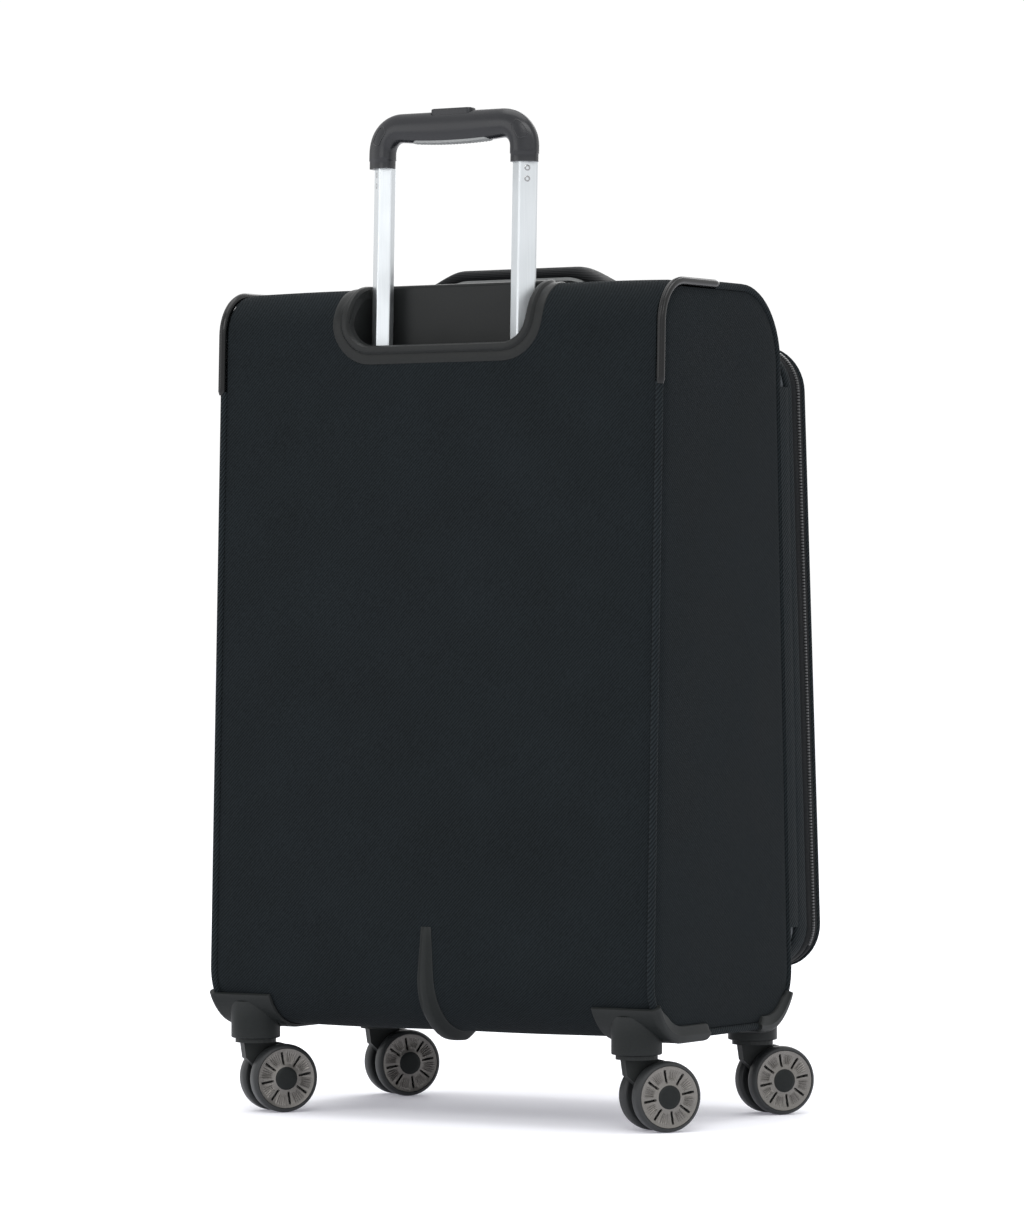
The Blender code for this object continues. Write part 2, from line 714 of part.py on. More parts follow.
def build_casters():
    fork = fork_mesh()
    pin = bpy.data.meshes.new("pin")
    cylinder(PIN_RADIUS, PIN_LOW, PIN_TOP, flat_top, 16).to_mesh(pin)
    axle = bpy.data.meshes.new("axle")
    reach = HUB_HALF_WIDTH + WHEEL_WIDTH - 0.001
    cylinder(AXLE_RADIUS, -reach, reach, along_axle, 12).to_mesh(axle)
    wheels = {}
    for label, sign in (("inner", 1), ("outer", -1)):
        wheels[label] = bpy.data.meshes.new("wheel")
        wheel_mesh(sign).to_mesh(wheels[label])

    for name, side, swivel_y, end, into_case in (
        ("back_left", -1, SWIVEL_BACK_Y, HOUSING_BACK_END, -1),
        ("back_right", 1, SWIVEL_BACK_Y, HOUSING_BACK_END, -1),
        ("front_left", -1, SWIVEL_FRONT_Y, HOUSING_FRONT_END, 1),
        ("front_right", 1, SWIVEL_FRONT_Y, HOUSING_FRONT_END, 1),
    ):
        shell = housing(side, end, swivel_y, into_case)
        piece(name + "_wheel_housing", shell, satin_black, case, smooth=True)
        place = (side * SWIVEL_X, swivel_y, 0.0)
        swivel = pivot(name + "_swivel_axis", place, case, (0.0, 0.0, CASTER_HEADING))
        for part, mesh, finish in (
            ("fork", fork, satin_black),
            ("swivel_pin", pin, steel),
            ("axle", axle, steel),
        ):
            piece(f"{name}_{part}", mesh, finish, swivel, smooth=True, in_case_frame=False)
        for label, mesh in wheels.items():
            axis = pivot(f"{name}_{label}_wheel_axis", (WHEEL_TRAIL, 0.0, WHEEL_RADIUS), swivel)
            wheel = piece(f"{name}_{label}_wheel", mesh, grey_tyre, axis, smooth=True, in_case_frame=False)
            wheel.location = (-WHEEL_TRAIL, 0.0, -WHEEL_RADIUS)


# Lid ------------------------------------------------------------------------------------------

def build_lid():
    """The front lid with the main zip round three of its sides, and its pocket."""
    path = rounded_box(LID_HALF_WIDTH, LID_BOTTOM, LID_TOP, LID_RADIUS)
    arcs = corner_arcs(box_corners(LID_HALF_WIDTH, LID_BOTTOM, LID_TOP), (LID_RADIUS,) * 4)
    zip_path = arcs[0][-1:] + arcs[1] + arcs[2] + arcs[3][:1]
    case_tape = rectangle(-0.0130, -0.0053, -GAP - TAPE, -GAP)
    piece("main_zip_case_half", band(zip_path, case_tape, on_front), black_tape, case)
    lid_back = 2 * GAP + TAPE
    lid_tape = rectangle(-0.0130, -0.0010, -lid_back - TAPE, -lid_back)
    piece("main_zip_lid_half", band(zip_path, lid_tape, on_front), black_tape, lid)

    panel_back = -(3 * GAP + 2 * TAPE)
    panel_front = panel_back - LID_PANEL
    piece("lid_panel", prism(path, on_front, panel_front, panel_back), twill, lid)

    def wall_low(_, v):
        return front_y(v) + panel_front - GAP

    def wall_high(_, v):
        return pocket_y(v) + FLAP + GAP

    inner = shifted(path, -WALL)
    piece("pocket_gusset", frame_prism(path, inner, flat_front, wall_high, wall_low), twill, lid)

    def on_pocket(u, v, w):
        return (u, pocket_y(v) + w, v)

    rim = 0.0028
    levels = ((shifted(path, -rim), 0.0), (path, rim), (path, FLAP))
    face = closed_mesh([[on_pocket(p[0], p[1], w) for p in ring] for ring, w in levels], False, True)
    piece("pocket_flap", face, twill, flap)


def slider(place):
    """A zip slider with its pull tab, drawn lying flat: u is along the zip and w stands off it."""
    body = prism(rounded_box(0.0045, -0.0060, 0.0060, 0.0015, 2), place, 0.0, 0.0040)
    tab = prism(rounded_box(0.0030, -0.0280, -0.0030, 0.0015, 2), place, 0.0022, 0.0036)
    return combined(body, [("UNION", tab)])


def build_sliders():
    """Two sliders on the main zip, half way up the right side, and two on the pocket zip's top run."""
    seam = front_y(SLIDER_Z) - GAP - TAPE
    for name, z, axis, turn in (
        ("upper_main_slider", SLIDER_Z + MAIN_SLIDER_SPACING, upper_main_slider, -1),
        ("lower_main_slider", SLIDER_Z - MAIN_SLIDER_SPACING, lower_main_slider, 1),
    ):

        def beside_zip(u, v, w, z=z, turn=turn):
            height = z + turn * v
            return (HALF_WIDTH + 2 * GAP + w, seam + front_y(height) - front_y(SLIDER_Z) + u, height)

        piece(name, slider(beside_zip), gunmetal, axis)

    pocket_zip_y = pocket_y(LID_TOP) + POCKET_ZIP_INSET
    for name, x, axis, turn in (
        ("left_pocket_slider", -POCKET_SLIDER_SPACING, left_pocket_slider, -1),
        ("right_pocket_slider", POCKET_SLIDER_SPACING, right_pocket_slider, 1),
    ):

        def over_pocket(u, v, w, x=x, turn=turn):
            return (x - turn * v, pocket_zip_y + u, LID_TOP + 2 * GAP + w)

        piece(name, slider(over_pocket), gunmetal, axis)


for existing in list(bpy.data.objects):
    bpy.data.objects.remove(existing)

twill = material("black_twill", (0.012, 0.015, 0.016), 0.85)
black_webbing = material("black_webbing", (0.012, 0.012, 0.013), 0.80)
black_tape = material("black_zip_tape", (0.016, 0.016, 0.017), 0.70)
satin_black = material("satin_black_plastic", (0.030, 0.031, 0.032), 0.50)
gloss_black = material("gloss_black_plastic", (0.020, 0.021, 0.021), 0.30)
grey_rubber = material("grey_rubber", (0.100, 0.102, 0.105), 0.75)
grey_board = material("grey_board", (0.120, 0.120, 0.120), 0.70)
grey_tyre = material("grey_tyre", (0.050, 0.052, 0.054), 0.60)
aluminium = material("satin_aluminium", (0.600, 0.615, 0.625), 0.35, 1.0)
steel = material("steel", (0.450, 0.450, 0.450), 0.35, 1.0)
spring_steel = material("spring_steel", (0.300, 0.300, 0.310), 0.40, 1.0)
gunmetal = material("gunmetal", (0.150, 0.150, 0.155), 0.35, 1.0)

case = pivot("case", ORIGIN_SHIFT, None)
lean = atan2(BACK_BOTTOM[0] - BACK_TOP[0], BACK_TOP[1] - BACK_BOTTOM[1])
trolley = pivot("trolley_frame", (0.0, TUBE_Y, BACK_TOP[1]), case, (lean, 0.0, 0.0))
mid_stage = pivot("mid_stage_slide", (0.0, 0.0, 0.0), trolley)
grip_stage = pivot("grip_stage_slide", (0.0, 0.0, 0.0), mid_stage)
button = pivot("release_button_slide", (0.0, 0.0, 0.0), grip_stage)
hinge_z = (LID_BOTTOM + LID_TOP) / 2
lid = pivot("lid_hinge", (-HALF_WIDTH, front_y(hinge_z), hinge_z), case)
flap_z = LID_BOTTOM
flap = pivot("pocket_flap_hinge", (0.0, pocket_y(flap_z) + FLAP, flap_z), lid)
upper_main_slider = pivot("upper_main_slider_slide", (0.0, 0.0, 0.0), case)
lower_main_slider = pivot("lower_main_slider_slide", (0.0, 0.0, 0.0), case)
left_pocket_slider = pivot("left_pocket_slider_slide", (0.0, 0.0, 0.0), lid)
right_pocket_slider = pivot("right_pocket_slider_slide", (0.0, 0.0, 0.0), lid)

build_shell()
build_edges()
build_inner_boards()
build_recess()
build_trolley()
build_carry_handles()
build_kick_foot()
build_casters()
build_lid()
build_sliders()
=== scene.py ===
"""Soft upright suitcase with a telescoping trolley handle and four twin-wheel casters.

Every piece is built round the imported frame. Metres, +Z up, the pocket faces -Y and the trolley
handle rises at +Y. Outlines are drawn in the case's own plane, (u, v) = (y, z) seen from the side
or (x, z) seen from the front, and CaseForm places them in the frame.
"""

from __future__ import annotations

import json
import logging
from dataclasses import dataclass, field
from enum import Enum
from math import atan2, cos, exp, pi, radians, sin, sqrt, tan
from typing import Callable, Iterable, Sequence

import bmesh
import bpy
from mathutils import Matrix, Vector


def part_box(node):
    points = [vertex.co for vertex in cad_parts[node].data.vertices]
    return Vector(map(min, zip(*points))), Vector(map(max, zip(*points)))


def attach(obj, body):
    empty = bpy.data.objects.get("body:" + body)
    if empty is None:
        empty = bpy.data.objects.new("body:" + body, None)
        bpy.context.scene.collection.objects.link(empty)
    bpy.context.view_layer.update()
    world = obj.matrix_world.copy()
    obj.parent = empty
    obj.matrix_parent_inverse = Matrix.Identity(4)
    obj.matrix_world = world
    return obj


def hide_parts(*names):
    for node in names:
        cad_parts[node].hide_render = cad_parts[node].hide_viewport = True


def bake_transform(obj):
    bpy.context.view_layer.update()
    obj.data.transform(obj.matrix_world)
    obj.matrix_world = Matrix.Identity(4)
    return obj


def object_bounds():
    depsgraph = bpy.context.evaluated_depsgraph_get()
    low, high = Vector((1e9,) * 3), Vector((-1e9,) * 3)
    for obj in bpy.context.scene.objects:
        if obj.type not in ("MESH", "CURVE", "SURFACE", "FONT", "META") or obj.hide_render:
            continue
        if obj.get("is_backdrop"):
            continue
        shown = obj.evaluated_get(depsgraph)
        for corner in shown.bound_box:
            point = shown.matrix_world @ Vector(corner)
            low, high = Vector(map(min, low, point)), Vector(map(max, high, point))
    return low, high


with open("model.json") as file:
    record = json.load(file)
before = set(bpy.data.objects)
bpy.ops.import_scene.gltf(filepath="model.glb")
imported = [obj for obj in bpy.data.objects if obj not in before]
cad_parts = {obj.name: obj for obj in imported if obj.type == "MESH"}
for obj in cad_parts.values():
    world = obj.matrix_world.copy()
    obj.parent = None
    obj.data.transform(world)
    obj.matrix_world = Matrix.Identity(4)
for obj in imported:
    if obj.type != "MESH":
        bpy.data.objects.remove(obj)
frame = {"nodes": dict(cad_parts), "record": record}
cad_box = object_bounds()
log = logging.getLogger("suitcase")

MM = 0.001
Point = tuple[float, float]
Station = tuple[float, float, float, float]
Place = Callable[[float, float, float], Vector]
Ring = list[Vector]
SIDES = (("left", -1), ("right", 1))


# Finishes -------------------------------------------------------------------------------------

def linear(code: str) -> tuple[float, float, float, float]:
    """Turns an sRGB hex code to a linear colour.

    Args:
        code: six hex digits after a hash sign.

    Returns:
        Red, green, blue and alpha, linear.
    """
    shares = [int(code[i : i + 2], 16) / 255 for i in (1, 3, 5)]
    channels = [c / 12.92 if c <= 0.04045 else ((c + 0.055) / 1.055) ** 2.4 for c in shares]
    return (channels[0], channels[1], channels[2], 1.0)


def add_node(
    tree: bpy.types.NodeTree,
    kind: str,
    settings: dict[str | int, object] | None = None,
    links: dict[str | int, bpy.types.NodeSocket] | None = None,
) -> bpy.types.Node:
    """Adds one node with its settings and links.

    Args:
        tree: the material's node tree.
        kind: the node's type name.
        settings: socket values by name or number, or the node's own properties.
        links: the output socket that each named or numbered input takes.

    Returns:
        The new node.
    """
    node = tree.nodes.new(kind)
    for name, value in (settings or {}).items():
        if isinstance(name, int) or name in node.inputs:
            node.inputs[name].default_value = value
        else:
            setattr(node, name, value)
    for name, source in (links or {}).items():
        tree.links.new(source, node.inputs[name])
    return node


class Surface(Enum):
    """How a finish's surface was made."""

    TWILL = "woven in diagonal ribs"
    TAPE = "woven in fine cross ribs"
    PLAIN_WEAVE = "woven one over one"
    GRAIN = "moulded against a spark-eroded tool"
    BRUSHED = "extruded, then brushed along its length"
    SMOOTH = "moulded or plated smooth"


@dataclass(frozen=True)
class Finish:
    """One finish: what it is made of, its two tones and the relief of its surface.

    pitch is the real spacing of threads, grains or streaks in millimetres, and relief the depth
    that the eye reads, in millimetres.
    """

    name: str
    slot: str
    surface: Surface
    tone: str
    shade: str
    roughness: float
    pitch: float
    relief: float
    ior: float = 1.5
    metallic: float = 0.0
    sheen: float = 0.0
    # Strength of a light grey painted on sharp convex edges as a highlight.
    edge_highlight: float = 0.0
    gloss: float = 0.5
    speck: float = 0.35
    fine: float = 0.5

    def material(self) -> bpy.types.Material:
        """Builds the material, unless it is there already.

        Returns:
            The material.
        """
        made = bpy.data.materials.get(self.name)
        if made:
            return made
        made = bpy.data.materials.new(self.name)
        made.use_nodes = True
        tree = made.node_tree
        shader = tree.nodes["Principled BSDF"]
        values = {"Metallic": self.metallic, "Sheen Weight": self.sheen}
        values |= {"Sheen Roughness": 0.5, "Specular IOR Level": self.gloss}
        if not self.metallic:
            values["IOR"] = self.ior
        for socket, value in values.items():
            shader.inputs[socket].default_value = value
        place = add_node(tree, "ShaderNodeTexCoord").outputs["Object"]
        height = self.height(tree, place)
        self.colour(tree, shader, place, height)
        lift = {"Strength": 0.9, "Distance": self.relief * MM}
        bump = add_node(tree, "ShaderNodeBump", lift, {"Height": height})
        tree.links.new(bump.outputs["Normal"], shader.inputs["Normal"])
        return made

    def height(self, tree: bpy.types.NodeTree, place: bpy.types.NodeSocket) -> bpy.types.NodeSocket:
        """Draws the relief of the surface.

        Args:
            tree: the material's node tree.
            place: the coordinate, in metres.

        Returns:
            The socket with the height, from 0 to 1.
        """
        pitch = self.pitch * MM
        grain = {"Scale": self.fine / pitch, "Detail": 2.0}
        speck = add_node(tree, "ShaderNodeTexNoise", grain, {"Vector": place}).outputs["Fac"]
        if self.surface in (Surface.TWILL, Surface.TAPE):
            # A wave repeats every 0.444 / scale metres on the diagonal and every 0.314 / scale upright
            settings = {"bands_direction": "Z", "Scale": 0.314 / pitch, "Distortion": 0.4}
            if self.surface is Surface.TWILL:
                settings = {"bands_direction": "DIAGONAL", "Scale": 0.444 / pitch, "Distortion": 0.6}
                settings |= {"Detail": 1.0, "Detail Scale": 4.0}
            ribs = add_node(tree, "ShaderNodeTexWave", settings, {"Vector": place}).outputs["Fac"]
            shares = {"data_type": "FLOAT", 0: self.speck}
            return add_node(tree, "ShaderNodeMix", shares, {2: ribs, 3: speck}).outputs[0]
        if self.surface is Surface.PLAIN_WEAVE:
            threads = []
            for direction in ("X", "Z"):
                settings = {"bands_direction": direction, "Scale": 0.314 / pitch}
                wave = add_node(tree, "ShaderNodeTexWave", settings, {"Vector": place})
                threads.append(wave.outputs["Fac"])
            upper = {"operation": "MAXIMUM"}
            return add_node(tree, "ShaderNodeMath", upper, dict(enumerate(threads))).outputs[0]
        if self.surface is Surface.BRUSHED:
            streak = {"Scale": (1.0, 1.0, 0.012)}
            stretched = add_node(tree, "ShaderNodeMapping", streak, {"Vector": place}).outputs[0]
            settings = {"Scale": 0.5 / pitch, "Detail": 3.0}
            return add_node(tree, "ShaderNodeTexNoise", settings, {"Vector": stretched}).outputs["Fac"]
        return speck

    def colour(
        self,
        tree: bpy.types.NodeTree,
        shader: bpy.types.Node,
        place: bpy.types.NodeSocket,
        height: bpy.types.NodeSocket,
    ) -> None:
        """Colours the surface between its two tones, with uneven roughness and, where the finish asks, a
        painted highlight on its sharp edges.

        Args:
            tree: the material's node tree.
            shader: the Principled shader.
            place: the coordinate, in metres.
            height: the relief, which is darker in its hollows.
        """
        # Handling and dye leave patches some 60 mm across
        wide = {"Scale": 16.0, "Detail": 3.0}
        patches = add_node(tree, "ShaderNodeTexNoise", wide, {"Vector": place}).outputs["Fac"]
        shares = {"data_type": "FLOAT", 0: 0.3}
        blend = add_node(tree, "ShaderNodeMix", shares, {2: height, 3: patches}).outputs[0]
        tones = {"data_type": "RGBA", 6: linear(self.shade), 7: linear(self.tone)}
        tint = add_node(tree, "ShaderNodeMix", tones, {0: blend}).outputs[2]
        # Painted highlight: a light grey is added where the surface turns sharply outwards, on the edges that
        # catch the light.
        if self.edge_highlight:
            edge = add_node(tree, "ShaderNodeNewGeometry").outputs["Pointiness"]
            settings = {1: 0.52, 2: 0.60, 3: 0.0, 4: self.edge_highlight}
            share = add_node(tree, "ShaderNodeMapRange", settings, {0: edge}).outputs[0]
            bright = {"data_type": "RGBA", "blend_type": "ADD", 7: linear("#6a6a6a")}
            tint = add_node(tree, "ShaderNodeMix", bright, {0: share, 6: tint}).outputs[2]
        tree.links.new(tint, shader.inputs["Base Color"])
        spread = 0.08
        settings = {1: 0.3, 2: 0.7, 3: self.roughness - spread, 4: self.roughness + spread}
        rough = add_node(tree, "ShaderNodeMapRange", settings, {0: patches}).outputs[0]
        tree.links.new(rough, shader.inputs["Roughness"])


# Woven polyester twill: fibres shade each other, so little light comes straight back, and what
# does is dull. The ribs are really about 1 mm apart, and drawn at 2.0 mm so that they show.
TWILL = Finish(
    "woven_polyester_twill", "fabric", Surface.TWILL, "#23282b", "#020303", 0.85, 2.0, 0.60, 1.53,
    sheen=0.01, gloss=0.04, speck=0.56, fine=1.0,
)
# The same twill cut on the bias for binding, whose ribs stand out more.
BINDING = Finish(
    "bias_cut_twill_binding", "piping", Surface.TWILL, "#262c2f", "#040506", 0.82, 2.6, 0.80, 1.53,
    sheen=0.01, gloss=0.06, speck=0.25,
)
# Nylon webbing, woven tight, with a dull shine along its ribs.
WEBBING = Finish(
    "woven_nylon_webbing", "webbing", Surface.TAPE, "#1c1e20", "#0a0b0c", 0.66, 1.4, 0.40, 1.53,
    sheen=0.02, gloss=0.16,
)
# Polyester zip tape: ribs really 0.6 mm apart, drawn at 1.2 mm.
ZIP_TAPE = Finish(
    "woven_zip_tape", "zip_tape", Surface.TAPE, "#1a1c1e", "#08090a", 0.72, 1.2, 0.30, 1.53,
    sheen=0.01, gloss=0.08,
)
# Nylon coil, extruded and bent: smooth and a little glossy.
COIL = Finish("nylon_zip_coil", "zip_tape", Surface.SMOOTH, "#2a2c2e", "#191a1b", 0.36, 2.0, 0.02, 1.53)
# Spun polyester sewing thread.
THREAD = Finish(
    "sewing_thread", "fabric", Surface.SMOOTH, "#2a2e30", "#16191a", 0.60, 0.5, 0.05, 1.53, gloss=0.3
)
# Polyester taffeta lining: thin, plain woven, faintly glossy. Threads drawn at 1.2 mm.
LINING = Finish(
    "taffeta_lining", "fabric", Surface.PLAIN_WEAVE, "#4d5155", "#33373b", 0.55, 1.2, 0.12, 1.53, gloss=0.35
)
# ABS moulded against a spark-eroded tool: an even fine grain and a soft satin, with a painted highlight on
# its sharp edges.
HOUSING_ABS = Finish(
    "grained_charcoal_abs", "black_plastic", Surface.GRAIN, "#202323", "#161818", 0.50, 0.8, 0.03, 1.54,
    edge_highlight=0.05, gloss=0.12,
)
BEZEL_ABS = Finish(
    "satin_black_abs", "black_plastic", Surface.GRAIN, "#202222", "#151616", 0.38, 0.8, 0.02, 1.54,
    edge_highlight=0.05, gloss=0.14,
)
GRIP_ABS = Finish(
    "satin_grip_abs", "grip_plastic", Surface.GRAIN, "#232427", "#191a1d", 0.31, 0.7, 0.02, 1.54,
    edge_highlight=0.05, gloss=0.30,
)
# Polished ABS, off a polished tool.
GUARD_ABS = Finish(
    "polished_black_abs", "gloss_trim", Surface.SMOOTH, "#0f1011", "#090a0a", 0.24, 0.9, 0.01, 1.54,
    gloss=0.26,
)
# Thermoplastic rubber, soft and dull.
RUBBER = Finish("grey_soft_rubber", "grip_pad", Surface.GRAIN, "#8f9191", "#6f7171", 0.68, 0.6, 0.04, 1.52)
# Cast polyurethane, firmer than the rubber and a little glossier.
TREAD = Finish(
    "grey_urethane_tread", "wheel", Surface.GRAIN, "#2a2c2d", "#1b1d1e", 0.52, 0.7, 0.03, 1.52, gloss=0.35
)
# Metallic-filled ABS of the wheel faces: grey with a pearly flake.
WHEEL_FACE = Finish(
    "metallic_filled_abs", "wheel", Surface.GRAIN, "#7d7a76", "#605e5b", 0.38, 0.5, 0.02, metallic=0.55
)
# Aluminium tube, brushed along its length and clear anodised: satin, with fine streaks.
ALUMINIUM = Finish(
    "anodised_aluminium", "tube_aluminium", Surface.BRUSHED, "#d8dcde", "#c2c7ca", 0.36, 0.5, 0.01,
    metallic=1.0,
)
# Steel, zinc plated on the pins and rivets and blackened on the spring wire.
STEEL = Finish(
    "zinc_plated_steel", "steel", Surface.SMOOTH, "#a8a9aa", "#8a8b8c", 0.30, 0.8, 0.01, metallic=1.0
)
SPRING = Finish(
    "black_spring_steel", "spring_steel", Surface.SMOOTH, "#5a5b5d", "#444547", 0.42, 0.8, 0.01, metallic=1.0
)
# Die-cast zinc under a dark plating: smooth, and bright on its edges.
GUNMETAL = Finish(
    "gunmetal_plated_zinc", "slider_metal", Surface.SMOOTH, "#5e5f62", "#47484b", 0.30, 0.9, 0.01,
    metallic=1.0,
)
# Polypropylene sheet for the inner boards: dull.
BOARD = Finish("extruded_polypropylene", "board", Surface.GRAIN, "#2e3032", "#242628", 0.60, 1.6, 0.05, 1.49)


# Outlines -------------------------------------------------------------------------------------

def corner_arcs(corners: Sequence[Point], radii: Sequence[float], steps: int) -> list[list[Station]]:
    """Rounds the corners of an anticlockwise outline.

    Args:
        corners: the corner points.
        radii: one radius for each corner.
        steps: the divisions of each arc.

    Returns:
        For each corner a list of (u, v, normal u, normal v).
    """
    arcs = []
    for i, radius in enumerate(radii):
        here = Vector(corners[i])
        back = (Vector(corners[i - 1]) - here).normalized()
        ahead = (Vector(corners[(i + 1) % len(corners)]) - here).normalized()
        half = back.angle(ahead) / 2
        centre = here + (back + ahead).normalized() * radius / sin(half)
        first = here + back * radius / tan(half) - centre
        last = here + ahead * radius / tan(half) - centre
        start = atan2(first.y, first.x)
        sweep = (atan2(last.y, last.x) - start + pi) % (2 * pi) - pi
        outward = 1 if sweep > 0 else -1
        arc = []
        for k in range(steps + 1):
            turn = start + sweep * k / steps
            way = Vector((cos(turn), sin(turn)))
            arc.append((*(centre + way * radius), *(way * outward)))
        arcs.append(arc)
    return arcs


def outline(corners: Sequence[Point], radii: Sequence[float], steps: int = 8) -> list[Station]:
    """The whole rounded outline as one list of stations."""
    return [point for arc in corner_arcs(corners, radii, steps) for point in arc]


def box_corners(half_width: float, low: float, high: float) -> tuple[Point, ...]:
    """The corners of a rectangle that is centred on u = 0, from v = low to v = high."""
    return ((-half_width, low), (half_width, low), (half_width, high), (-half_width, high))


def rounded_box(half_width: float, low: float, high: float, radius: float, steps: int = 8) -> list[Station]:
    """A rounded rectangle, centred on u = 0, from v = low to v = high."""
    return outline(box_corners(half_width, low, high), (radius,) * 4, steps)


def shifted(path: Iterable[Station], outset: float) -> list[Station]:
    """The path moved outwards along its normals."""
    return [(u + nu * outset, v + nv * outset, nu, nv) for u, v, nu, nv in path]


def mixed(a: Sequence[float], b: Sequence[float], share: float) -> tuple[float, ...]:
    """The point that lies that share of the way from a to b."""
    return tuple(p + (q - p) * share for p, q in zip(a, b))


def gap(a: Sequence[float], b: Sequence[float]) -> float:
    """The distance between two stations of an outline."""
    return sqrt((a[0] - b[0]) ** 2 + (a[1] - b[1]) ** 2)


def run_lengths(path: list[Station]) -> list[float]:
    """Measures a path.

    Args:
        path: the stations.

    Returns:
        The length along the path up to each station.
    """
    lengths = [0.0]
    for a, b in zip(path, path[1:]):
        lengths.append(lengths[-1] + gap(a, b))
    return lengths


def station_at(path: list[Station], lengths: list[float], length: float) -> Station:
    """Finds a place on a path by its length from the start.

    Args:
        path: the stations.
        lengths: what run_lengths gives for the path.
        length: the length from the start.

    Returns:
        The station there, or the last one past the end.
    """
    for i, end in enumerate(lengths[1:]):
        if length <= end:
            return mixed(path[i], path[i + 1], (length - lengths[i]) / (end - lengths[i]))
    return path[-1]


def spaced(path: list[Station], step: float, closed: bool = False) -> list[Station]:
    """Adds stations along the straight runs of a path.

    Args:
        path: the stations.
        step: the longest run to leave.
        closed: whether the last station joins the first.

    Returns:
        The denser path.
    """
    ends = path[1:] + path[:1] if closed else path[1:]
    dense = []
    for a, b in zip(path, ends):
        parts = max(1, round(gap(a, b) / step))
        dense += [mixed(a, b, k / parts) for k in range(parts)]
    return dense if closed else dense + [path[-1]]


def smooth(value: float, low: float, high: float) -> float:
    """A soft step from 0 at low to 1 at high."""
    share = min(1.0, max(0.0, (value - low) / (high - low)))
    return share * share * (3 - 2 * share)


def level(low: Point, high: Point, v: float) -> float:
    """The u of the line through two points where it passes v."""
    return low[0] + (high[0] - low[0]) * (v - low[1]) / (high[1] - low[1])


def ripple(a: float, b: float) -> float:
    """Slow unevenness of stretched cloth, from -1 to 1, for a place in metres."""
    slow = sin(23 * a + 1.3) * sin(17 * b + 0.4)
    return (slow + 0.6 * sin(41 * a + 29 * b) + 0.4 * sin(61 * b - 13 * a)) / 2


# Meshes ---------------------------------------------------------------------------------------

def grid_mesh(
    rings: list[Ring], ring: bool = True, joined: bool = False, capped: bool = True
) -> bmesh.types.BMesh:
    """Joins rings of points, all of one length, by quads.

    Args:
        rings: the rings in order.
        ring: whether each ring's last point joins its first.
        joined: whether the last ring joins the first.
        capped: whether the two end rings are filled.

    Returns:
        The mesh, with its faces pointing out.
    """
    mesh = bmesh.new()
    loops = [[mesh.verts.new(point) for point in row] for row in rings]
    pairs = list(zip(loops, loops[1:]))
    if joined:
        pairs.append((loops[-1], loops[0]))
    count = len(loops[0]) if ring else len(loops[0]) - 1
    for a, b in pairs:
        for i in range(count):
            j = (i + 1) % len(a)
            mesh.faces.new((a[i], a[j], b[j], b[i]))
    if capped and not joined:
        mesh.faces.new(loops[0])
        mesh.faces.new(loops[-1])
    bmesh.ops.recalc_face_normals(mesh, faces=mesh.faces)
    return mesh


def laid(path: Iterable[Sequence[float]], place: Place, w: float) -> Ring:
    """The points of an outline, placed at one w."""
    return [place(point[0], point[1], w) for point in path]


def prism(path: Sequence[Sequence[float]], place: Place, low: float, high: float) -> bmesh.types.BMesh:
    """The outline drawn out from w = low to w = high."""
    return grid_mesh([laid(path, place, w) for w in (low, high)])


def filleted(
    path: list[Station], place: Place, low: float, high: float, radius: float, steps: int = 4
) -> bmesh.types.BMesh:
    """A prism whose two rims are rounded.

    Args:
        path: the outline.
        place: where (u, v, w) lies.
        low: the lower w.
        high: the upper w.
        radius: the rims' radius.
        steps: the divisions of each rim.

    Returns:
        The mesh.
    """
    turns = [pi / 2 * k / steps for k in range(steps + 1)]
    levels = [(radius * (sin(t) - 1), low + radius * (1 - cos(t))) for t in turns]
    levels += [(radius * (sin(t) - 1), high - radius * (1 - cos(t))) for t in reversed(turns)]
    return grid_mesh([laid(shifted(path, out), place, w) for out, w in levels])


def swept(
    path: list[Station], section: Callable[[float], list[Point]], place: Place, closed: bool = False
) -> bmesh.types.BMesh:
    """Sweeps a section along a path.

    Args:
        path: the stations.
        section: the (outwards, across) points at a share of the way along.
        place: where (u, v, w) lies.
        closed: whether the path is a loop.

    Returns:
        The mesh, with its ends filled if it isn't a loop.
    """
    rings = []
    for i, (u, v, nu, nv) in enumerate(path):
        points = section(i / (len(path) - 1))
        rings.append([place(u + nu * out, v + nv * out, across) for out, across in points])
    return grid_mesh(rings, joined=closed)


def turned(
    profile: list[Point], place: Place, segments: int = 48, capped: bool = False
) -> bmesh.types.BMesh:
    """Turns a (radius, height) profile about an axis.

    Args:
        profile: the points, from one end of the profile to the other.
        place: where (u, v, w) lies, w along the axis.
        segments: the divisions of the turn.
        capped: whether the two ends of the profile are filled.

    Returns:
        The mesh: a loop in section if it isn't capped.
    """
    rings = []
    for r, h in profile:
        turns = [2 * pi * k / segments for k in range(segments)]
        rings.append([place(r * cos(t), r * sin(t), h) for t in turns])
    return grid_mesh(rings, joined=not capped, capped=capped)


def oval(
    half_out: float, half_across: float, out: float, across: float, points: int = 16, power: float = 2.0
) -> list[Point]:
    """Draws an oval section.

    Args:
        half_out: half its size outwards.
        half_across: half its size across.
        out: where its middle is outwards.
        across: where its middle is across.
        points: the number of points.
        power: 2 for an ellipse and more for a squarer shape.

    Returns:
        The (outwards, across) points.
    """
    made = []
    for k in range(points):
        c, s = cos(2 * pi * k / points), sin(2 * pi * k / points)
        far = half_out * abs(c) ** (2 / power) * (1 if c > 0 else -1)
        wide = half_across * abs(s) ** (2 / power) * (1 if s > 0 else -1)
        made.append((out + far, across + wide))
    return made


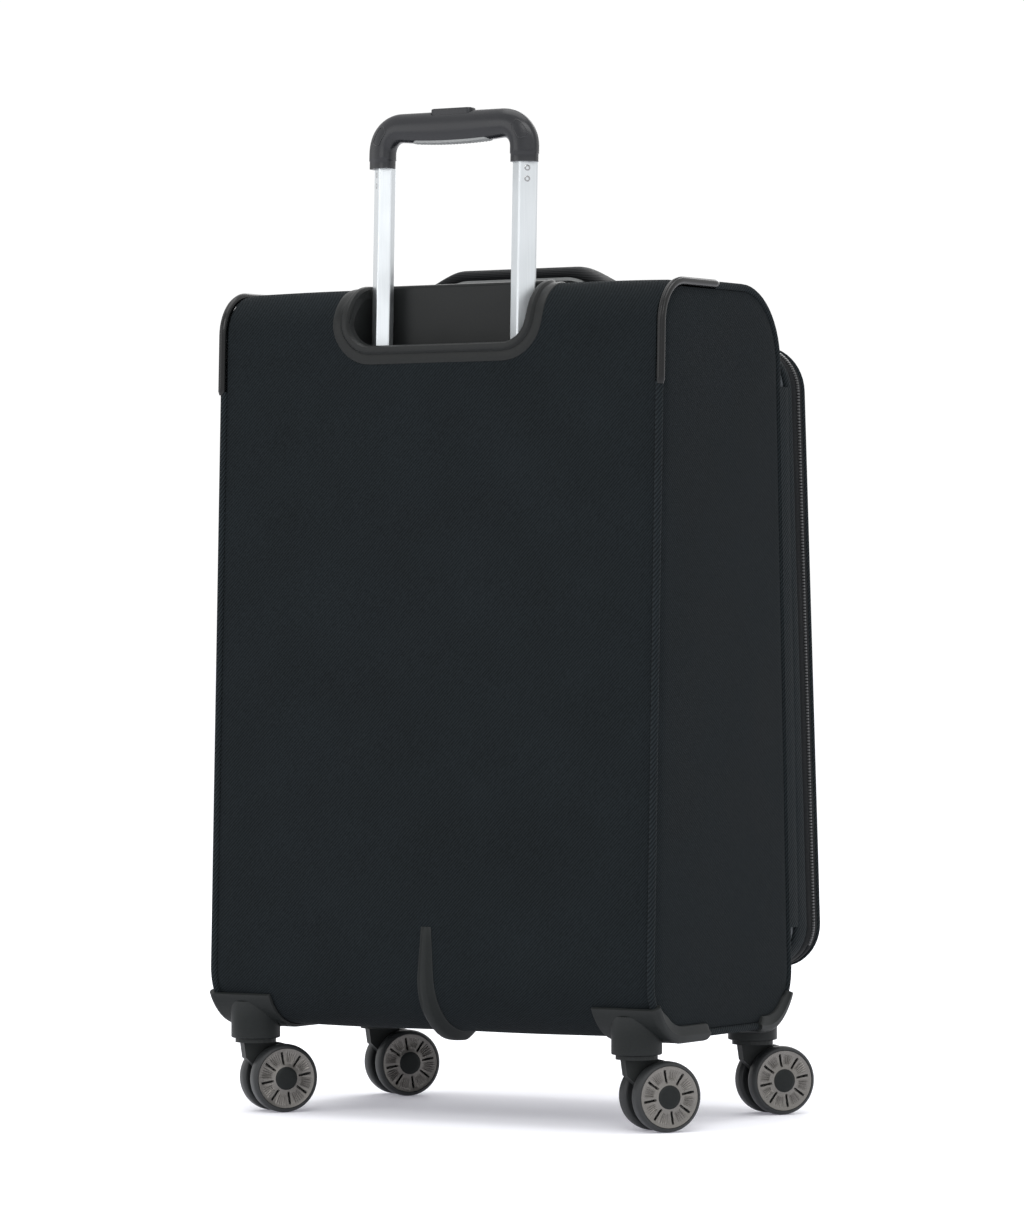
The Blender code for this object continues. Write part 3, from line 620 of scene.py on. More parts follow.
def mesh_data(name: str, mesh: bmesh.types.BMesh) -> bpy.types.Mesh:
    """Turns a mesh being built into mesh data, and frees it.

    Args:
        name: the data's name.
        mesh: the mesh being built.

    Returns:
        The mesh data.
    """
    data = bpy.data.meshes.new(name)
    mesh.to_mesh(data)
    mesh.free()
    return data


def in_scene(name: str, data: bpy.types.ID) -> bpy.types.Object:
    """Makes an object and puts it in the scene.

    Args:
        name: the object's name.
        data: its mesh, lamp or camera data.

    Returns:
        The object.
    """
    made = bpy.data.objects.new(name, data)
    bpy.context.scene.collection.objects.link(made)
    return made


def joined_mesh(parts: list[bmesh.types.BMesh]) -> bmesh.types.BMesh:
    """Puts several meshes in one, as separate shells.

    Args:
        parts: the meshes, which are freed.

    Returns:
        The one mesh.
    """
    whole = bmesh.new()
    for part in parts:
        data = mesh_data("part", part)
        whole.from_mesh(data)
        bpy.data.meshes.remove(data)
    return whole


def stitches(points: list[Vector], normal: Vector, pitch: float = 3.6 * MM) -> bmesh.types.BMesh:
    """A row of stitches along a line.

    Args:
        points: the line.
        normal: the side that the stitches show on.
        pitch: the length of one stitch with its gap.

    Returns:
        One small lozenge of thread for each stitch.
    """
    whole = bmesh.new()
    thread = 0.35 * MM
    left = 0.0
    for a, b in zip(points, points[1:]):
        run = (b - a).length
        if run < 1e-9:
            continue
        along = (b - a) / run
        across = along.cross(normal).normalized() * thread
        up = normal.normalized() * thread
        while left < run:
            middle = a + along * left
            half = along * pitch * 0.34
            ends = [whole.verts.new(middle - half), whole.verts.new(middle + half)]
            waist = [whole.verts.new(middle + way) for way in (across, up, -across, -up)]
            for i in range(4):
                whole.faces.new((ends[0], waist[i], waist[i - 1]))
                whole.faces.new((ends[1], waist[i - 1], waist[i]))
            left += pitch
        left -= run
    bmesh.ops.recalc_face_normals(whole, faces=whole.faces)
    return whole


def add_piece(
    name: str,
    mesh: bmesh.types.BMesh,
    finish: Finish,
    body: str | None,
    sharp: float = 40.0,
    replaces: Sequence[str] = (),
) -> bpy.types.Object:
    """Adds one visible piece.

    Args:
        name: the piece's name.
        mesh: its shape, in the frame's coordinates.
        finish: its finish.
        body: the body that carries it, or None to leave it unattached.
        sharp: the least angle of an edge that stays sharp, in degrees.
        replaces: the frame's nodes that it stands for.

    Returns:
        The object.
    """
    data = mesh_data(name, mesh)
    data.materials.append(finish.material())
    data.shade_smooth()
    data.set_sharp_from_angle(angle=radians(sharp))
    made = in_scene(name, data)
    if body:
        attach(made, body)
    if replaces:
        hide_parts(*replaces)
    log.info("%s: %d faces, %s", name, len(data.polygons), finish.name)
    return made


def cut(base: bmesh.types.BMesh, steps: list[tuple[str, bmesh.types.BMesh]]) -> bmesh.types.BMesh:
    """Applies Boolean steps to a mesh.

    Args:
        base: the mesh to start from.
        steps: (operation, tool) pairs.

    Returns:
        The result as a new mesh.
    """
    used = [in_scene("tool", mesh_data("tool", mesh)) for mesh in (base, *(tool for _, tool in steps))]
    for (operation, _), tool in zip(steps, used[1:]):
        change = used[0].modifiers.new(operation, "BOOLEAN")
        change.operation = operation
        change.object = tool
    bpy.context.view_layer.update()
    evaluated = used[0].evaluated_get(bpy.context.evaluated_depsgraph_get())
    result = bmesh.new()
    result.from_mesh(evaluated.to_mesh())
    evaluated.to_mesh_clear()
    for tool in used:
        data = tool.data
        bpy.data.objects.remove(tool)
        bpy.data.meshes.remove(data)
    return result


# The case's form ------------------------------------------------------------------------------

@dataclass(frozen=True)
class CaseForm:
    """The side outline of the case, its straight slopes and its place in the frame."""

    front_bottom: Point = (-0.1084, 0.0720)
    back_bottom: Point = (0.1210, 0.0720)
    back_top: Point = (0.1032, 0.6600)
    front_top: Point = (-0.0857, 0.6615)
    radii: tuple[float, ...] = (0.045, 0.045, 0.035, 0.060)
    half_width: float = 0.2045
    wrap_half: float = 0.1987
    lid_half: float = 0.2035
    lid_low: float = 0.116
    lid_high: float = 0.617
    lid_radius: float = 0.036
    panel_inset: float = 0.0053
    zip_setback: float = 0.0028
    pocket_low: Point = (-0.1540, 0.195)
    pocket_high: Point = (-0.1330, 0.537)
    shift: Vector = field(default_factory=Vector)

    @classmethod
    def from_frame(cls) -> CaseForm:
        """Finds where the case stands in the frame from its side panels.

        Returns:
            The form, shifted to its place.
        """
        left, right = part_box("left_side_panel"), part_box("right_side_panel")
        plain = cls()
        inset = [point[0] for point in shifted(plain.profile(6), -plain.panel_inset)]
        middle = (left[0].x + right[1].x) / 2
        return cls(shift=Vector((middle, left[0].y - min(inset), 0.0)))

    def arcs(self, steps: int = 14) -> list[list[Station]]:
        """The four corners: front bottom, back bottom, back top, front top."""
        corners = (self.front_bottom, self.back_bottom, self.back_top, self.front_top)
        return corner_arcs(corners, self.radii, steps)

    def profile(self, steps: int = 14) -> list[Station]:
        """The closed side outline."""
        return [point for arc in self.arcs(steps) for point in arc]

    def back_y(self, z: float) -> float:
        """The y of the back at a height."""
        return level(self.back_bottom, self.back_top, z)

    def front_y(self, z: float) -> float:
        """The y of the front at a height."""
        return level(self.front_bottom, self.front_top, z)

    def pocket_y(self, z: float) -> float:
        """The y of the pocket's face at a height."""
        return level(self.pocket_low, self.pocket_high, z)

    def side(self, u: float, v: float, w: float) -> Vector:
        """Side plane: u is y, v is z and w is x."""
        return Vector((w, u, v)) + self.shift

    def front(self, u: float, v: float, w: float) -> Vector:
        """Upright front plane: u is x, v is z and w is y."""
        return Vector((u, w, v)) + self.shift

    def on_front(self, u: float, v: float, w: float) -> Vector:
        """The sloping front of the case: w is the distance behind it."""
        return Vector((u, self.front_y(v) + w, v)) + self.shift

    def on_pocket(self, u: float, v: float, w: float) -> Vector:
        """The sloping face of the pocket: w is the distance behind it."""
        return Vector((u, self.pocket_y(v) + w, v)) + self.shift

    def lid_path(self, step: float = 0.006) -> list[Station]:
        """The rounded outline of the lid, as a dense loop."""
        path = rounded_box(self.lid_half, self.lid_low, self.lid_high, self.lid_radius, 12)
        return spaced(path, step, closed=True)


def filled_rings(
    path: list[Station], spine: tuple[Point, Point], steps: int, place: Place
) -> list[Ring]:
    """Rings that shrink from an outline to a line inside it.

    Args:
        path: the outline.
        spine: the two ends of the line.
        steps: the number of rings less one.
        place: where (u, v, share) lies, share being 1 at the outline and 0 at the line.

    Returns:
        The rings, from the outline inwards.
    """
    (u0, v0), (u1, v1) = spine
    length = (u1 - u0) ** 2 + (v1 - v0) ** 2
    rings = []
    for k in range(steps + 1):
        share = 1 - k / steps
        row = []
        for u, v, _, _ in path:
            along = min(1.0, max(0.0, ((u - u0) * (u1 - u0) + (v - v0) * (v1 - v0)) / length))
            foot = (u0 + (u1 - u0) * along, v0 + (v1 - v0) * along)
            row.append(place(foot[0] + (u - foot[0]) * share, foot[1] + (v - foot[1]) * share, share))
        rings.append(row)
    return rings


def closed_pad(front: list[Ring], back: list[Ring]) -> bmesh.types.BMesh:
    """Joins two sets of shrinking rings at their rims.

    Args:
        front: the rings of one side, from the rim inwards.
        back: the rings of the other side.

    Returns:
        One closed pad.
    """
    mesh = grid_mesh(list(reversed(front)) + back, capped=False)
    bmesh.ops.remove_doubles(mesh, verts=mesh.verts, dist=1e-6)
    bmesh.ops.dissolve_degenerate(mesh, edges=mesh.edges, dist=1e-6)
    bmesh.ops.recalc_face_normals(mesh, faces=mesh.faces)
    return mesh


def box_loop(half_width: float, low: float, high: float, radius: float, parts: int = 24) -> list[Station]:
    """Draws a rounded rectangle whose straight sides are cut in equal parts, so that two loops match.

    Args:
        half_width: half its width, about u = 0.
        low: its lower v.
        high: its upper v.
        radius: the radius of its corners.
        parts: how many parts each straight side is cut in.

    Returns:
        The closed loop of stations.
    """
    arcs = corner_arcs(box_corners(half_width, low, high), (radius,) * 4, 8)
    loop = []
    for i, arc in enumerate(arcs):
        following = arcs[(i + 1) % 4][0]
        loop += arc + [mixed(arc[-1], following, k / parts) for k in range(1, parts)]
    return loop


# Case -----------------------------------------------------------------------------------------

@dataclass
class CaseShell:
    """The fabric body: one wrap round bottom, back and top, two sides, a front frame and a lining."""

    form: CaseForm
    thick: float = 0.0036
    wrap_bulge: float = 0.0011
    side_bulge: float = 0.0024
    tuck: float = 0.0013
    columns: int = 46
    recess_half: float = 0.0846
    recess_floor: float = 0.6024
    recess_front: float = 0.0664
    recess_radius: float = 0.0186
    recess_open: Point = (0.74, 0.16)
    lining_floor: float = 0.0935
    lining_roof: float = 0.6480

    def build(self) -> None:
        """Builds every fabric piece of the case."""
        self.wrap()
        for side, sign in SIDES:
            self.side_panel(side + "_side_panel", sign)
        self.front_frame()
        self.lining()

    def wrap(self) -> None:
        """The twill round the bottom, the back and the top, with the recess cut out of it."""
        form, half = self.form, self.form.wrap_half
        front_bottom, back_bottom, back_top, front_top = form.arcs()
        path = front_bottom + back_bottom + back_top
        path += [point for point in front_top if point[1] > form.lid_high]
        across = [half * (2 * k / self.columns - 1) for k in range(self.columns + 1)]
        rings = []
        for u, v, nu, nv in spaced(path, 0.008):
            row = []
            for x in across:
                edge = abs(x) / half
                out = self.wrap_bulge * (1 - edge**4) + 0.0006 * ripple(x, u + v) * (1 - edge**8)
                out -= self.tuck * smooth(edge, 0.965, 1.0) ** 2
                row.append(form.side(u + nu * out, v + nv * out, x))
            row += [form.side(u - nu * self.thick, v - nv * self.thick, x) for x in reversed(across)]
            rings.append(row)
        above, behind = self.recess_open
        recess = rounded_box(self.recess_half, self.recess_floor, above, self.recess_radius, 10)
        hole = prism(recess, form.front, self.recess_front, behind)
        mesh = cut(grid_mesh(rings), [("DIFFERENCE", hole)])
        made = add_piece("case_wrap", mesh, TWILL, "case", 50, ("back_panel", "top_panel", "bottom_panel"))

    def side_panel(self, node: str, sign: int) -> None:
        """Builds one side, stretched between its seams and fuller in the middle.

        Args:
            node: the frame's node.
            sign: the side of x.
        """
        form = self.form
        path = spaced(shifted(form.profile(), -form.panel_inset), 0.008, closed=True)

        def outer(u: float, v: float, share: float) -> Vector:
            """The skin of the panel."""
            full = self.side_bulge * (1 - share**3) + 0.0007 * ripple(u, v) * (1 - share**6)
            full -= self.tuck * smooth(share, 0.93, 1.0) ** 2
            return form.side(u, v, sign * (form.half_width + full))

        def inner(u: float, v: float, _: float) -> Vector:
            """The back of the panel."""
            return form.side(u, v, sign * (form.half_width - 0.004))

        spine = ((0.006, 0.200), (0.006, 0.540))
        mesh = closed_pad(filled_rings(path, spine, 20, outer), filled_rings(path, spine, 6, inner))
        made = add_piece(node + "_cloth", mesh, TWILL, "case", 50, (node,))

    def front_frame(self) -> None:
        """The cloth frame behind the lid, with a bound edge round its opening."""
        form = self.form
        low = form.arcs()[0][0][1] + 0.0006
        outer = box_loop(form.wrap_half, low, form.lid_high - 0.0003, 0.003)
        inner = box_loop(form.wrap_half - 0.014, form.lid_low + 0.014, form.lid_high - 0.016, 0.030)
        rings = []
        for depth, shares in ((0.0002, (0.0, 0.5, 1.0)), (self.thick, (1.0, 0.5, 0.0))):
            for share in shares:
                loop = [mixed(a, b, share) for a, b in zip(outer, inner)]
                rings.append(laid(loop, form.on_front, depth))
        mesh = grid_mesh(rings, joined=True)
        add_piece("front_frame_cloth", mesh, TWILL, "case", 50, ("front_frame",))
        bead = swept(inner, lambda _: oval(0.0024, 0.0027, 0.0, 0.0022, 12), form.on_front, closed=True)
        add_piece("opening_binding", bead, BINDING, "case")

    def lining(self) -> None:
        """The taffeta tub inside, sewn to the front frame."""
        form = self.form
        mouth = box_loop(form.wrap_half - 0.013, form.lid_low + 0.013, form.lid_high - 0.015, 0.030)
        wall = box_loop(form.wrap_half - 0.0030, self.lining_floor, self.lining_roof, 0.040)

        def back_wall(z: float) -> float:
            """The y of the lining's back, which steps forward to pass the grip recess."""
            behind = form.back_y(z) - 0.0350
            return behind + (0.0630 - behind) * smooth(z, 0.50, 0.59)

        arc = form.arcs(20)[3]

        def skin(z: float) -> float:
            """The y of the case's front, which curves back at its top."""
            for a, b in zip(arc, arc[1:]):
                if min(a[1], b[1]) <= z < max(a[1], b[1]):
                    return mixed(a, b, (z - a[1]) / (b[1] - a[1]))[0]
            return form.front_y(z)

        rings = [laid(mouth, form.on_front, self.thick + 0.0008)]
        for share in (0.04, 0.2, 0.4, 0.6, 0.8, 0.94, 1.0):
            inset = 0.006 * smooth(share, 0.8, 1.0)
            ring = []
            for u, v, nu, nv in wall:
                near, far = max(skin(v), skin(v + 0.006)) + self.thick + 0.004, back_wall(v)
                sag = 0.0016 * ripple(u + share, v) - 0.0016
                out = sag - inset
                ring.append(form.front(u + nu * out, v + nv * out, near + (far - near) * share))
            rings.append(ring)
        flat = shifted(wall, -0.010)
        spine = ((0.0, 0.25), (0.0, 0.50))
        rings += filled_rings(
            flat, spine, 14, lambda u, v, _: form.front(u, v, back_wall(v) + 0.0008 * ripple(u, v))
        )
        mesh = grid_mesh(rings, capped=False)
        bmesh.ops.remove_doubles(mesh, verts=mesh.verts, dist=1e-6)
        bmesh.ops.recalc_face_normals(mesh, faces=mesh.faces)
        area = round(sum(face.calc_area() for face in mesh.faces), 4)
        made = add_piece("case_lining", mesh, LINING, "case", 60)
        change = made.modifiers.new("thickness", "SOLIDIFY")
        change.thickness = 0.0006
        change.offset = 0.0


@dataclass
class SeamTrim:
    """What covers the case's side seams: twill piping, and a plastic guard on each back top corner."""

    form: CaseForm
    piping_radius: float = 0.0031
    guard_radius: float = 0.0033
    guard_low: float = 0.905
    guard_high: float = 0.56

    def build(self) -> None:
        """Builds both sides' trim."""
        front_bottom, back_bottom, back_top, front_top = self.form.arcs()
        low = mixed(back_bottom[-1], back_top[0], self.guard_low)
        high = mixed(back_top[-1], front_top[0], self.guard_high)
        after = mixed(back_top[-1], front_top[0], self.guard_high - 0.02)
        before = mixed(back_bottom[-1], back_top[0], self.guard_low + 0.005)
        piping = spaced([after, *front_top, *front_bottom, *back_bottom, before], 0.008)
        guard = spaced([low, *back_top, high], 0.003)
        thick = self.piping_radius
        for side, sign in SIDES:
            centre = sign * (self.form.half_width - 0.0025)
            mesh = swept(piping, lambda _, at=centre: oval(thick, thick, -0.002, at, 14), self.form.side)
            add_piece(side + "_seam_piping", mesh, BINDING, "case", replaces=(side + "_piping",))
            mesh = swept(guard, lambda share, s=sign: self.guard_section(share, s), self.form.side)
            add_piece(side + "_back_guard", mesh, GUARD_ABS, "case", replaces=(side + "_corner_guard",))

    def guard_section(self, share: float, sign: int) -> list[Point]:
        """The guard's section: a bar with a groove down its middle, rounded off at its ends.

        Args:
            share: how far along the guard.
            sign: the side of x.

        Returns:
            The (outwards, across) points.
        """
        reach = min(share, 1 - share)
        size = self.guard_radius * (0.72 + 0.28 * sqrt(smooth(reach, 0.0, 0.012)))
        groove = 0.50
        points = []
        for k in range(40):
            turn = 2 * pi * k / 40
            radius = size * (1 - 0.16 * exp(-(((turn - groove + pi) % (2 * pi) - pi) / 0.17) ** 2))
            across = self.form.half_width - 0.001 + radius * sin(turn)
            points.append((-0.001 + radius * cos(turn), sign * across))
        return points


@dataclass
class GripRecess:
    """The bezel of the grip recess: a raised rim that runs over the back's edge, and a cup."""

    form: CaseForm
    trolley: Trolley
    half: float = 0.0820
    floor: float = 0.6050
    lip: float = 0.6130
    front: float = 0.0690
    wall: float = 0.0020
    lip_front: float = 0.0995
    cup_radius: float = 0.0160
    rim: tuple[Point, ...] = (
        (-0.0004, -0.0060), (0.0000, -0.0012), (0.0005, 0.0018), (0.0018, 0.0033), (0.0038, 0.0038),
        (0.0056, 0.0034), (0.0068, 0.0022), (0.0074, 0.0015), (0.0084, 0.0018), (0.0130, 0.0019),
        (0.0150, 0.0014), (0.0158, 0.0004), (0.0160, -0.0012),
    )

    def build(self) -> None:
        """Builds the bezel in one piece."""
        mesh = joined_mesh([self.rim_mesh(), self.cup_mesh()])
        add_piece("recess_bezel", mesh, BEZEL_ABS, "case", 32, ("trolley_bezel",))

    def rim_mesh(self) -> bmesh.types.BMesh:
        """Draws the rim on the unrolled surface of the case and lays it back on it.

        Returns:
            The rim.
        """
        _, back_bottom, back_top, front_top = self.form.arcs(20)
        start = mixed(back_bottom[-1], back_top[0], 0.86)
        track = spaced([start, *back_top, mixed(back_top[-1], front_top[0], 0.5)], 0.003)
        lengths = run_lengths(track)

        def on_surface(x: float, length: float, out: float) -> Vector:
            """The point at x and a length along the surface, raised from it."""
            u, v, nu, nv = station_at(track, lengths, length)
            return self.form.side(u + nu * out, v + nv * out, x)

        low = next(s for s, point in zip(lengths, track) if point[1] >= self.lip)
        high = next(s for s, point in zip(lengths, track) if point[1] > 0.65 and point[0] <= self.front)
        path = outline(box_corners(self.half, low, high), (0.021, 0.021, 0.007, 0.007), 10)
        path = spaced(path, 0.004, closed=True)
        rings = [laid(shifted(path, wide), on_surface, out) for wide, out in self.rim]
        return grid_mesh(rings, joined=True)

    def cup_mesh(self) -> bmesh.types.BMesh:
        """Cuts the cup: a rounded trough open at the top and at the back above its lip.

        Returns:
            The cup.
        """
        form = self.form
        wall = self.wall
        outer = rounded_box(self.half + wall, self.floor - wall, 0.70, self.cup_radius + wall, 12)
        inner = rounded_box(self.half, self.floor, 0.74, self.cup_radius, 12)
        lip = rounded_box(self.half, self.lip, 0.74, 0.012, 12)
        skin = prism(shifted(form.profile(20), 0.0010), form.side, -0.12, 0.12)
        steps = [
            ("INTERSECT", skin),
            ("DIFFERENCE", prism(inner, form.front, self.front, 0.1010)),
            ("DIFFERENCE", prism(lip, form.front, self.lip_front, 0.16)),
            *(("DIFFERENCE", self.trolley.bore(x)) for x in (-self.trolley.tube_x, self.trolley.tube_x)),
        ]
        return cut(prism(outer, form.front, self.front - wall, 0.13), steps)


# Trolley --------------------------------------------------------------------------------------

@dataclass
class Trolley:
    """The telescoping handle, in its own frame: s runs up the tubes from the top of the case."""

    form: CaseForm
    tube_x: float = 0.0665
    base: Point = (0.0830, 0.6600)
    collar_low: float = 0.0968
    top: float = 0.1400
    half: float = 0.0790
    inner_half: float = 0.0540
    bend: float = 0.0190
    collar: float = 0.0062
    belly: float = 0.0024
    button_half: float = 0.0190
    button_depth: float = 0.0110
    button_proud: float = 0.0022
    tube_half: Point = (0.0103, 0.0059)
    bore_grow: float = 0.0019

    def place(self, u: float, v: float, w: float) -> Vector:
        """Places a point of the trolley's frame, which leans with the back.

        Args:
            u: its x.
            v: its depth, positive towards the back.
            w: its s, up the tubes.

        Returns:
            The point.
        """
        low, high = self.form.back_bottom, self.form.back_top
        lean = atan2(low[0] - high[0], high[1] - low[1])
        y = self.base[0] + v * cos(lean) - w * sin(lean)
        z = self.base[1] + v * sin(lean) + w * cos(lean)
        return Vector((u, y, z)) + self.form.shift

    def upright(self, u: float, v: float, w: float) -> Vector:
        """Drawn from behind: u is x, v is s and w is the depth."""
        return self.place(u, w, v)

    def build(self) -> None:
        """Builds the grip, its pad and button, and the small parts on the tubes."""
        self.grip()
        self.pad()
        self.button()
        for side, sign in SIDES:
            x = sign * self.tube_x
            self.emboss(side, x)
            self.rivets(side, x)
            path = [(x + u, v, nu, nv) for u, v, nu, nv in rounded_box(0.0150, -0.0105, 0.0105, 0.005)]
            bush = filleted(path, self.place, -0.0560, -0.0532, 0.0008)
            add_piece(side + "_tube_bush", cut(bush, [("DIFFERENCE", self.bore(x))]), BEZEL_ABS, "case")

    def bore(self, x: float) -> bmesh.types.BMesh:
        """Draws the hole that the larger moving tube of one side runs through, with its clearance.

        Args:
            x: the tube's middle.

        Returns:
            The tool that cuts the hole.
        """
        half, deep = self.tube_half
        corners = ((-half, -deep), (half + 0.001, -deep), (-0.001, deep), (-half, deep - 0.0047))
        path = shifted(outline(corners, (0.0015, 0.0013, 0.0015, 0.0015), 6), self.bore_grow)
        sign = 1 if x > 0 else -1
        path = [(x + sign * p[0], p[1], sign * p[2], p[3]) for p in path[::sign]]
        return prism(path, self.place, -0.0750, -0.0400)

    def section(self, nv: float) -> tuple[float, float, float, float]:
        """The grip's half width, half depth, squareness and back slant where its normal rises by nv."""
        bar = smooth(nv, 0.05, 0.95)
        return 0.0113 + 0.0003 * bar, 0.0080 + 0.0010 * bar, 3.4 - 1.0 * bar, 0.60 - 0.42 * bar

    def back_depth(self, out: float, nv: float) -> float:
        """Measures how far back the grip reaches.

        Args:
            out: the distance outwards from its middle line.
            nv: how much its normal rises there.

        Returns:
            The depth.
        """
        half, deep, power, slant = self.section(nv)
        full = deep * max(0.0, 1 - abs(out / half) ** power) ** (1 / power)
        return full * (1 - slant * smooth(out, -0.3 * half, half))

    def bow(self) -> list[Station]:
        """Draws the grip's middle line.

        Returns:
            The stations from the foot of the right arm to that of the left.
        """
        middle = (self.half + self.inner_half) / 2
        height = self.top - self.section(1.0)[0]
        arcs = corner_arcs(box_corners(middle, 0.0, height), (0.001, 0.001, self.bend, self.bend), 16)
        low = self.collar_low
        seam = low + self.collar
        right = [(middle, low, 1.0, 0.0), (middle, seam, 1.0, 0.0), (middle, seam + 0.0005, 1.0, 0.0)]
        left = [(-u, v, -nu, nv) for u, v, nu, nv in reversed(right)]
        return spaced([*right, *arcs[2], *arcs[3], *left], 0.003)

    def grip(self) -> None:
        """The grip: a bow whose arms carry on the tubes' slanted section, fuller under its middle."""
        rings = []
        for u, v, nu, nv in self.bow():
            half, deep, power, slant = self.section(nv)
            shrink = 0.96 if v <= self.collar_low + self.collar + 0.0001 else 1.0
            belly = self.sag(u) * smooth(nv, 0.9, 1.0)
            ring = []
            for out, across in oval(half, deep, 0.0, 0.0, 36, power):
                if across > 0:
                    across *= 1 - slant * smooth(out, -0.3 * half, half)
                if out < 0:
                    out *= 1 + belly / half
                ring.append(self.upright(u + nu * out * shrink, v + nv * out * shrink, across * shrink))
            rings.append(ring)
        clear = 0.0005
        reach = self.button_depth / 2 + clear
        slot_path = rounded_box(self.button_half + clear, -reach, reach, 0.0045)
        slot = prism(slot_path, self.place, self.top - 0.0090, self.top + 0.0100)
        mesh = cut(grid_mesh(rings), [("DIFFERENCE", slot)])
        add_piece("trolley_grip", mesh, GRIP_ABS, "grip_stage", 38, ("grip_handle",))

    def sag(self, x: float) -> float:
        """How far the grip's underside bulges below the bow at x."""
        return self.belly * max(0.0, 1 - (x / 0.046) ** 2)

    def pad(self) -> None:
        """The ribbed soft insert, let into the grip's underside."""
        rings = []
        count = 145
        for k in range(count):
            x = 0.036 * (2 * k / (count - 1) - 1)
            end = sqrt(max(0.02, 1 - max(0.0, (abs(x) - 0.031) / 0.005) ** 2))
            low = self.top - 2 * self.section(1.0)[0] - self.sag(x) - 0.0002
            rib = 0.0002 * cos(2 * pi * x / 0.0030)
            half = 0.0056 * end
            section = ((half, low + 0.0030), (half, low + 0.0005), (half * 0.8, low + rib))
            section += ((-half * 0.8, low + rib), (-half, low + 0.0005), (-half, low + 0.0030))
            rings.append([self.place(x, across, s) for across, s in section])
        add_piece("grip_soft_pad", grid_mesh(rings), RUBBER, "grip_stage", 50, ("grip_pad",))

    def button(self) -> None:
        """The release button, slightly crowned, in its slot."""
        path = rounded_box(self.button_half, -self.button_depth / 2, self.button_depth / 2, 0.0040, 8)
        top = self.top + self.button_proud
        mesh = filleted(path, self.place, self.top - 0.0050, top, 0.0012, 4)
        add_piece("release_button_cap", mesh, GRIP_ABS, "release_button", 32, ("release_button",))

    def emboss(self, side: str, x: float) -> None:
        """A raised rounded frame on the back of one arm, which follows its bend.

        Args:
            side: which arm.
            x: the arm's middle.
        """
        line = self.bow() if x > 0 else self.bow()[::-1]
        lengths = run_lengths(line)

        def on_arm(out: float, along: float, w: float) -> Vector:
            """On the arm's back: outwards, along from its foot, and w off it."""
            u, v, nu, nv = station_at(line, lengths, along)
            return self.upright(u + nu * out, v + nv * out, self.back_depth(out, nv) + w)

        path = spaced(rounded_box(0.0040, 0.0180, 0.0310, 0.0024), 0.0012, closed=True)
        path = [(u + 0.0030, v, nu, nv) for u, v, nu, nv in path]
        mesh = swept(path, lambda _: oval(0.0004, 0.0003, 0.0, 0.0, 8), on_arm, closed=True)
        add_piece(side + "_grip_emboss", mesh, GRIP_ABS, "grip_stage")

    def rivets(self, side: str, x: float) -> None:
        """The two tubular rivets that hold the grip, on the tube's slanted face.

        Args:
            side: which tube.
            x: the tube's middle.
        """
        sign = 1 if x > 0 else -1
        slope = Vector((0.72, -0.69))
        normal = Vector((0.69, 0.72))
        middle = Vector((0.0036, 0.0014))
        profile = [(0.0001, -0.0004), (0.0010, -0.0004), (0.0012, 0.0001), (0.0018, 0.0002)]
        profile += [(0.0024, 0.0001), (0.0026, -0.0001), (0.0026, -0.0008)]
        parts = []
        for s in (0.0832, 0.0918):

            def on_tube(u: float, v: float, w: float, s: float = s) -> Vector:
                """Round one rivet's axis, which stands on the slanted face."""
                flat = middle + slope * u + normal * w
                return self.place(x + sign * flat.x, flat.y, s + v)

            parts.append(turned(profile, on_tube, 24, capped=True))
        add_piece(side + "_tube_rivets", joined_mesh(parts), STEEL, "grip_stage")


# Carry handles and foot -----------------------------------------------------------------------

